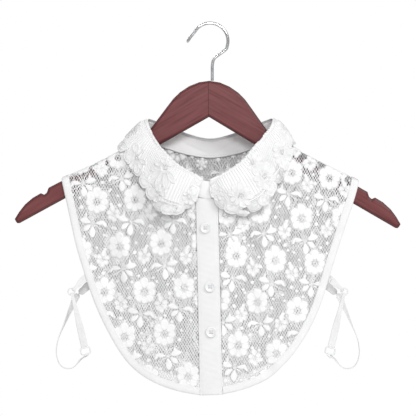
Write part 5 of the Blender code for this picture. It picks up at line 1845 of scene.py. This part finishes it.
def noise(tree, source, scale, detail=3.0, stretch=None):
    """A noise field from a position, stretched where asked."""
    nodes, links = tree.nodes, tree.links
    field = nodes.new("ShaderNodeTexNoise")
    field.inputs["Scale"].default_value = scale
    field.inputs["Detail"].default_value = detail
    if stretch is None:
        links.new(source, field.inputs["Vector"])
    else:
        turned = nodes.new("ShaderNodeMapping")
        turned.vector_type = "TEXTURE"
        turned.inputs["Rotation"].default_value = stretch[0]
        turned.inputs["Scale"].default_value = stretch[1]
        links.new(source, turned.inputs["Vector"])
        links.new(turned.outputs["Vector"], field.inputs["Vector"])
    return field.outputs["Fac"]


def ramp(tree, source, stops):
    """A colour ramp from stops of a position and a colour."""
    made = tree.nodes.new("ShaderNodeValToRGB")
    while len(made.color_ramp.elements) < len(stops):
        made.color_ramp.elements.new(0.5)
    for element, (position, colour) in zip(made.color_ramp.elements, stops):
        element.position = position
        element.color = (*colour, 1.0)
    tree.links.new(source, made.inputs["Fac"])
    return made.outputs["Color"]


def bump(tree, shader, height, strength, distance):
    made = tree.nodes.new("ShaderNodeBump")
    made.inputs["Strength"].default_value = strength
    made.inputs["Distance"].default_value = distance
    tree.links.new(height, made.inputs["Height"])
    tree.links.new(made.outputs["Normal"], shader.inputs["Normal"])
    return made


def maths(tree, operation, first, second):
    made = tree.nodes.new("ShaderNodeMath")
    made.operation = operation
    for slot, value in zip(made.inputs, (first, second)):
        if isinstance(value, (int, float)):
            slot.default_value = value
        else:
            tree.links.new(value, slot)
    return made.outputs["Value"]


def thread_material(name, dark, light, roughness):
    """Bleached cotton thread: faint clouding of the white, and a twisted, fibrous surface."""
    material, tree, shader = principled(name, light, roughness, Sheen_Weight=0.25,
                                        Sheen_Roughness=0.5, Specular_IOR_Level=0.3)
    where = tree.nodes.new("ShaderNodeTexCoord").outputs["Object"]
    cloud = noise(tree, where, 60.0, 4.0)
    tree.links.new(ramp(tree, cloud, ((0.32, dark), (0.68, light))), shader.inputs["Base Color"])
    bump(tree, shader, noise(tree, where, 2600.0), 0.35, 0.0002)
    return material


def weave_material(name, dark, light, thread_pitch, slant=0.0, sheen=0.3):
    """A woven white cloth: fine threads both ways, faint clouding and a soft sheen."""
    material, tree, shader = principled(name, light, 0.82, Sheen_Weight=sheen,
                                        Sheen_Roughness=0.45, Specular_IOR_Level=0.3)
    where = tree.nodes.new("ShaderNodeTexCoord").outputs["Object"]
    cloud = noise(tree, where, 45.0, 5.0)
    tree.links.new(ramp(tree, cloud, ((0.3, dark), (0.7, light))), shader.inputs["Base Color"])
    turned = tree.nodes.new("ShaderNodeMapping")
    turned.inputs["Rotation"].default_value = (0.0, slant, 0.0)
    tree.links.new(where, turned.inputs["Vector"])
    waves = []
    for direction in ("X", "Z"):
        wave = tree.nodes.new("ShaderNodeTexWave")
        wave.bands_direction = direction
        wave.inputs["Scale"].default_value = math.tau / thread_pitch / 20.0
        wave.inputs["Distortion"].default_value = 0.6
        wave.inputs["Detail"].default_value = 1.0
        tree.links.new(turned.outputs["Vector"], wave.inputs["Vector"])
        waves.append(wave.outputs["Fac"])
    weave = maths(tree, "MULTIPLY", *waves)
    fuzz = noise(tree, where, 3000.0)
    height = maths(tree, "ADD", weave, maths(tree, "MULTIPLY", fuzz, 0.6))
    bump(tree, shader, height, 0.45, 0.00012)
    return material


def resin_material(name):
    """Milky, slightly translucent resin with fine scuffs in its gloss."""
    material, tree, shader = principled(name, (0.86, 0.865, 0.87), 0.35, Coat_Weight=0.15,
                                        Coat_Roughness=0.15, Specular_IOR_Level=0.4)
    where = tree.nodes.new("ShaderNodeTexCoord").outputs["Object"]
    cloud = noise(tree, where, 160.0, 4.0)
    tree.links.new(ramp(tree, cloud, ((0.3, (0.80, 0.805, 0.82)), (0.7, (0.90, 0.90, 0.905)))),
                   shader.inputs["Base Color"])
    scuffs = noise(tree, where, 900.0, 4.0)
    tree.links.new(maths(tree, "MULTIPLY", scuffs, 0.5), shader.inputs["Roughness"])
    bump(tree, shader, scuffs, 0.1, 0.0001)
    return material


def steel_material(name):
    """Chromed wire with fine scratches and a little dulling."""
    material, tree, shader = principled(name, (0.62, 0.63, 0.65), 0.12, Metallic=1.0)
    where = tree.nodes.new("ShaderNodeTexCoord").outputs["Object"]
    dull = noise(tree, where, 120.0, 5.0)
    scratches = noise(tree, where, 500.0, 6.0, ((0.3, 0.4, 0.2), (1.0, 6.0, 0.4)))
    rough = maths(tree, "ADD", maths(tree, "MULTIPLY", dull, 0.14), 0.05)
    tree.links.new(rough, shader.inputs["Roughness"])
    tree.links.new(ramp(tree, dull, ((0.3, (0.50, 0.50, 0.52)), (0.65, (0.72, 0.73, 0.75)))),
                   shader.inputs["Base Color"])
    bump(tree, shader, scratches, 0.08, 0.0001)
    return material


def wood_material(name):
    """Varnished mahogany: grain along each arm, a joint in the middle, and painted shade on the faces that
    turn away from the front.
    """
    material, tree, shader = principled(name, (0.12, 0.03, 0.026), 0.4, Coat_Weight=0.04,
                                        Coat_Roughness=0.25, Specular_IOR_Level=0.14)
    nodes, links = tree.nodes, tree.links
    where = nodes.new("ShaderNodeTexCoord").outputs["Object"]
    split = nodes.new("ShaderNodeSeparateXYZ")
    links.new(where, split.inputs["Vector"])
    grains = []
    for angle in (math.radians(-30), math.radians(30)):
        grains.append(noise(tree, where, 30.0, 8.0, ((0.0, angle, 0.0), (1.2, 0.12, 0.07))))
    side = maths(tree, "GREATER_THAN", split.outputs["X"], -0.002)
    mixed = nodes.new("ShaderNodeMix")
    mixed.data_type = "FLOAT"
    links.new(side, mixed.inputs[0])
    links.new(grains[0], mixed.inputs[2])
    links.new(grains[1], mixed.inputs[3])
    grain = mixed.outputs[0]
    tone = ramp(tree, grain, (
        (0.25, (0.105, 0.027, 0.028)),
        (0.42, (0.158, 0.045, 0.047)),
        (0.60, (0.180, 0.056, 0.058)),
        (0.80, (0.190, 0.068, 0.069)),
    ))
    off_joint = maths(tree, "ABSOLUTE", maths(tree, "ADD", split.outputs["X"], 0.002), 0.0)
    joint = maths(tree, "LESS_THAN", off_joint, 0.0004)
    darker = nodes.new("ShaderNodeMix")
    darker.data_type = "RGBA"
    links.new(maths(tree, "MULTIPLY", joint, 0.6), darker.inputs[0])
    links.new(tone, darker.inputs[6])
    darker.inputs[7].default_value = (0.02, 0.005, 0.005, 1.0)
    # painted shade: where the surface turns away from the front and back, along the bar's rounded rim and
    # sides, the colour is darkened by its facing alone
    painted_shade_facing = nodes.new("ShaderNodeSeparateXYZ")
    links.new(nodes.new("ShaderNodeNewGeometry").outputs["Normal"], painted_shade_facing.inputs["Vector"])
    flat = maths(tree, "ABSOLUTE", painted_shade_facing.outputs["Y"], 0.0)
    edge = ramp(tree, flat, ((0.80, (1.0, 1.0, 1.0)), (0.97, (0.0, 0.0, 0.0))))
    rim = nodes.new("ShaderNodeMix")
    rim.data_type = "RGBA"
    links.new(edge, rim.inputs[0])
    links.new(darker.outputs[2], rim.inputs[6])
    # the near-black brown of the painted shade on the turned-away faces
    rim.inputs[7].default_value = (0.050, 0.012, 0.012, 1.0)
    links.new(rim.outputs[2], shader.inputs["Base Color"])
    pores = noise(tree, where, 260.0, 4.0, ((0.0, math.radians(30), 0.0), (2.0, 0.2, 0.15)))
    rough = maths(tree, "ADD", maths(tree, "MULTIPLY", pores, 0.3), 0.2)
    links.new(rough, shader.inputs["Roughness"])
    bump(tree, shader, maths(tree, "ADD", grain, pores), 0.12, 0.0004)
    return material


def make_camera():
    data = bpy.data.cameras.new("camera")
    data.sensor_width = SENSOR
    data.lens = SENSOR * CAMERA_DISTANCE / PHOTO_WIDTH
    data.clip_start = 0.1
    data.clip_end = 50.0
    camera = bpy.data.objects.new("camera", data)
    camera.location = (PHOTO_MIDDLE[0] * MM, -CAMERA_DISTANCE * MM, PHOTO_MIDDLE[1] * MM)
    camera.rotation_euler = (math.pi / 2, 0.0, 0.0)
    bpy.context.scene.collection.objects.link(camera)
    bpy.context.scene.camera = camera


def area_light(name, place, target, size, power):
    data = bpy.data.lights.new(name, "AREA")
    data.shape = "DISK"
    data.size = size
    data.energy = power
    light = bpy.data.objects.new(name, data)
    light.location = place
    light.rotation_euler = (Vector(target) - Vector(place)).to_track_quat("-Z", "Y").to_euler()
    bpy.context.scene.collection.objects.link(light)


def make_studio():
    """A white page behind the object, a dimmer room round it, a key light and a fill."""
    scene = bpy.context.scene
    scene.view_settings.view_transform = "Standard"
    scene.view_settings.look = "None"
    world = bpy.data.worlds.new("studio")
    scene.world = world
    world.use_nodes = True
    nodes, links = world.node_tree.nodes, world.node_tree.links
    page = nodes["Background"]
    page.inputs["Color"].default_value = (1.0, 1.0, 1.0, 1.0)
    page.inputs["Strength"].default_value = 1.0
    room = nodes.new("ShaderNodeBackground")
    room.inputs["Color"].default_value = (1.0, 1.0, 1.0, 1.0)
    room.inputs["Strength"].default_value = ROOM_STRENGTH
    rays = nodes.new("ShaderNodeLightPath")
    mix = nodes.new("ShaderNodeMixShader")
    links.new(rays.outputs["Is Camera Ray"], mix.inputs["Fac"])
    links.new(room.outputs["Background"], mix.inputs[1])
    links.new(page.outputs["Background"], mix.inputs[2])
    links.new(mix.outputs["Shader"], nodes["World Output"].inputs["Surface"])
    middle = (0.0, 0.0, -0.25)
    area_light("key", (1.5, -2.2, 1.3), middle, 1.2, KEY_POWER)
    area_light("front", (0.1, -2.7, 0.62), middle, 0.7, FRONT_POWER)
    area_light("back", (-0.6, 2.6, 0.9), middle, 0.8, BACK_POWER)
    bpy.ops.mesh.primitive_circle_add(vertices=64, radius=FLOOR_SIZE * MM, fill_type="NGON",
                                      location=(0.0, 0.0, FLOOR_HEIGHT * MM))
    floor = bpy.context.object
    floor.name = "floor"
    pale, _, _ = principled("pale floor", (0.82, 0.82, 0.81), 0.9)
    floor.data.materials.append(pale)


def panel_sheet(piece, chart, nodes):
    """Attaches a lace panel to the root body and hides the nodes it replaces."""
    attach(piece, "root")
    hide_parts(*nodes)


def finish_piece(piece, nodes):
    """Ties a piece to the model: the body it rides and the nodes it replaces."""
    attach(piece, "root")
    if nodes:
        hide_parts(*nodes)


def sewn_piece(name, stitching, thread):
    """The stitches of a seam as a piece of their own."""
    piece = mesh_object(name, *stitching.joined(), thread)
    finish_piece(piece, ())
    return piece


make_camera()
make_studio()
lace_thread = thread_material("lace_thread", (0.90, 0.90, 0.905), (0.935, 0.935, 0.94), 0.8)
collar_thread = thread_material("collar_thread", (0.86, 0.86, 0.865), (0.91, 0.91, 0.915), 0.75)
sewing_thread = thread_material("sewing_thread", (0.76, 0.76, 0.77), (0.86, 0.86, 0.865), 0.6)
cotton = weave_material("cotton_weave", (0.82, 0.82, 0.825), (0.86, 0.86, 0.865), 0.0005)
# painted light: a lighter copy of the cotton for the stand, to lift the stand where it lies in shade
# inside the neck
stand_cotton_painted_lighter = weave_material("stand_weave_painted_lighter", (0.92, 0.92, 0.925), (0.95, 0.95, 0.955), 0.0005)
tape_cloth = weave_material("tape_weave", (0.84, 0.84, 0.845), (0.89, 0.89, 0.895), 0.0004,
                            math.pi / 4, 0.45)
elastic_cloth = weave_material("elastic_weave", (0.78, 0.78, 0.79), (0.86, 0.86, 0.87), 0.0007, 0.3, 0.4)
resin = resin_material("milky_resin")
steel = steel_material("chromed_wire")
wood = wood_material("varnished_mahogany")

bar = frame["nodes"]["hanger_bar"]
bar.data.materials.clear()
bar.data.materials.append(wood)
hook = make_hook(steel)
finish_piece(hook, ("hanger_hook",))

for side, units in (("left", LEFT_UNITS), ("right", RIGHT_UNITS)):
    lace = make_front_lace(side, units, lace_thread)
    panel_sheet(lace, panel_chart("front", side, 0.0), (f"front_{side}",))
lace_back = make_back_lace(lace_thread)
finish_piece(lace_back, ("back",))
back_polygon = back_chart(0.0)

for name, face, sides, node in (("front_left", "front", ("left",), "binding_front_left"),
                                ("front_right", "front", ("right",), "binding_front_right"),
                                ("back", "back", ("left", "right"), "binding_back")):
    stitching = Solid()
    tape, length, width = make_binding(f"tape_{name}", face, sides, tape_cloth, stitching)
    finish_piece(tape, (node,))
    stitches = sewn_piece(f"tape_stitching_{name}", stitching, sewing_thread)

stitching = Solid()
placket, under_placket = make_placket(cotton, stitching)
finish_piece(placket, ("button_placket",))
finish_piece(under_placket, ("under_placket",))
placket_stitches = sewn_piece("placket_stitching", stitching, sewing_thread)
for number, (button, knot) in enumerate(make_buttons(resin, sewing_thread), start=1):
    finish_piece(button, (f"button_{number}",))
    finish_piece(knot, ())

stitching = Solid()
stand, stand_length = make_stand(stand_cotton_painted_lighter, stitching)
finish_piece(stand, ("collar_stand",))
stand_stitches = sewn_piece("stand_stitching", stitching, sewing_thread)

ground = make_collar_ground(collar_thread)
motifs = make_collar_motifs(collar_thread)
finish_piece(ground, ("collar_fall",))
finish_piece(motifs, ())

for row in STRAPS:
    made, stitches = make_straps(*row, elastic_cloth, resin, sewing_thread)
    for node, piece in made.items():
        finish_piece(piece, (node,))
    finish_piece(stitches, ())
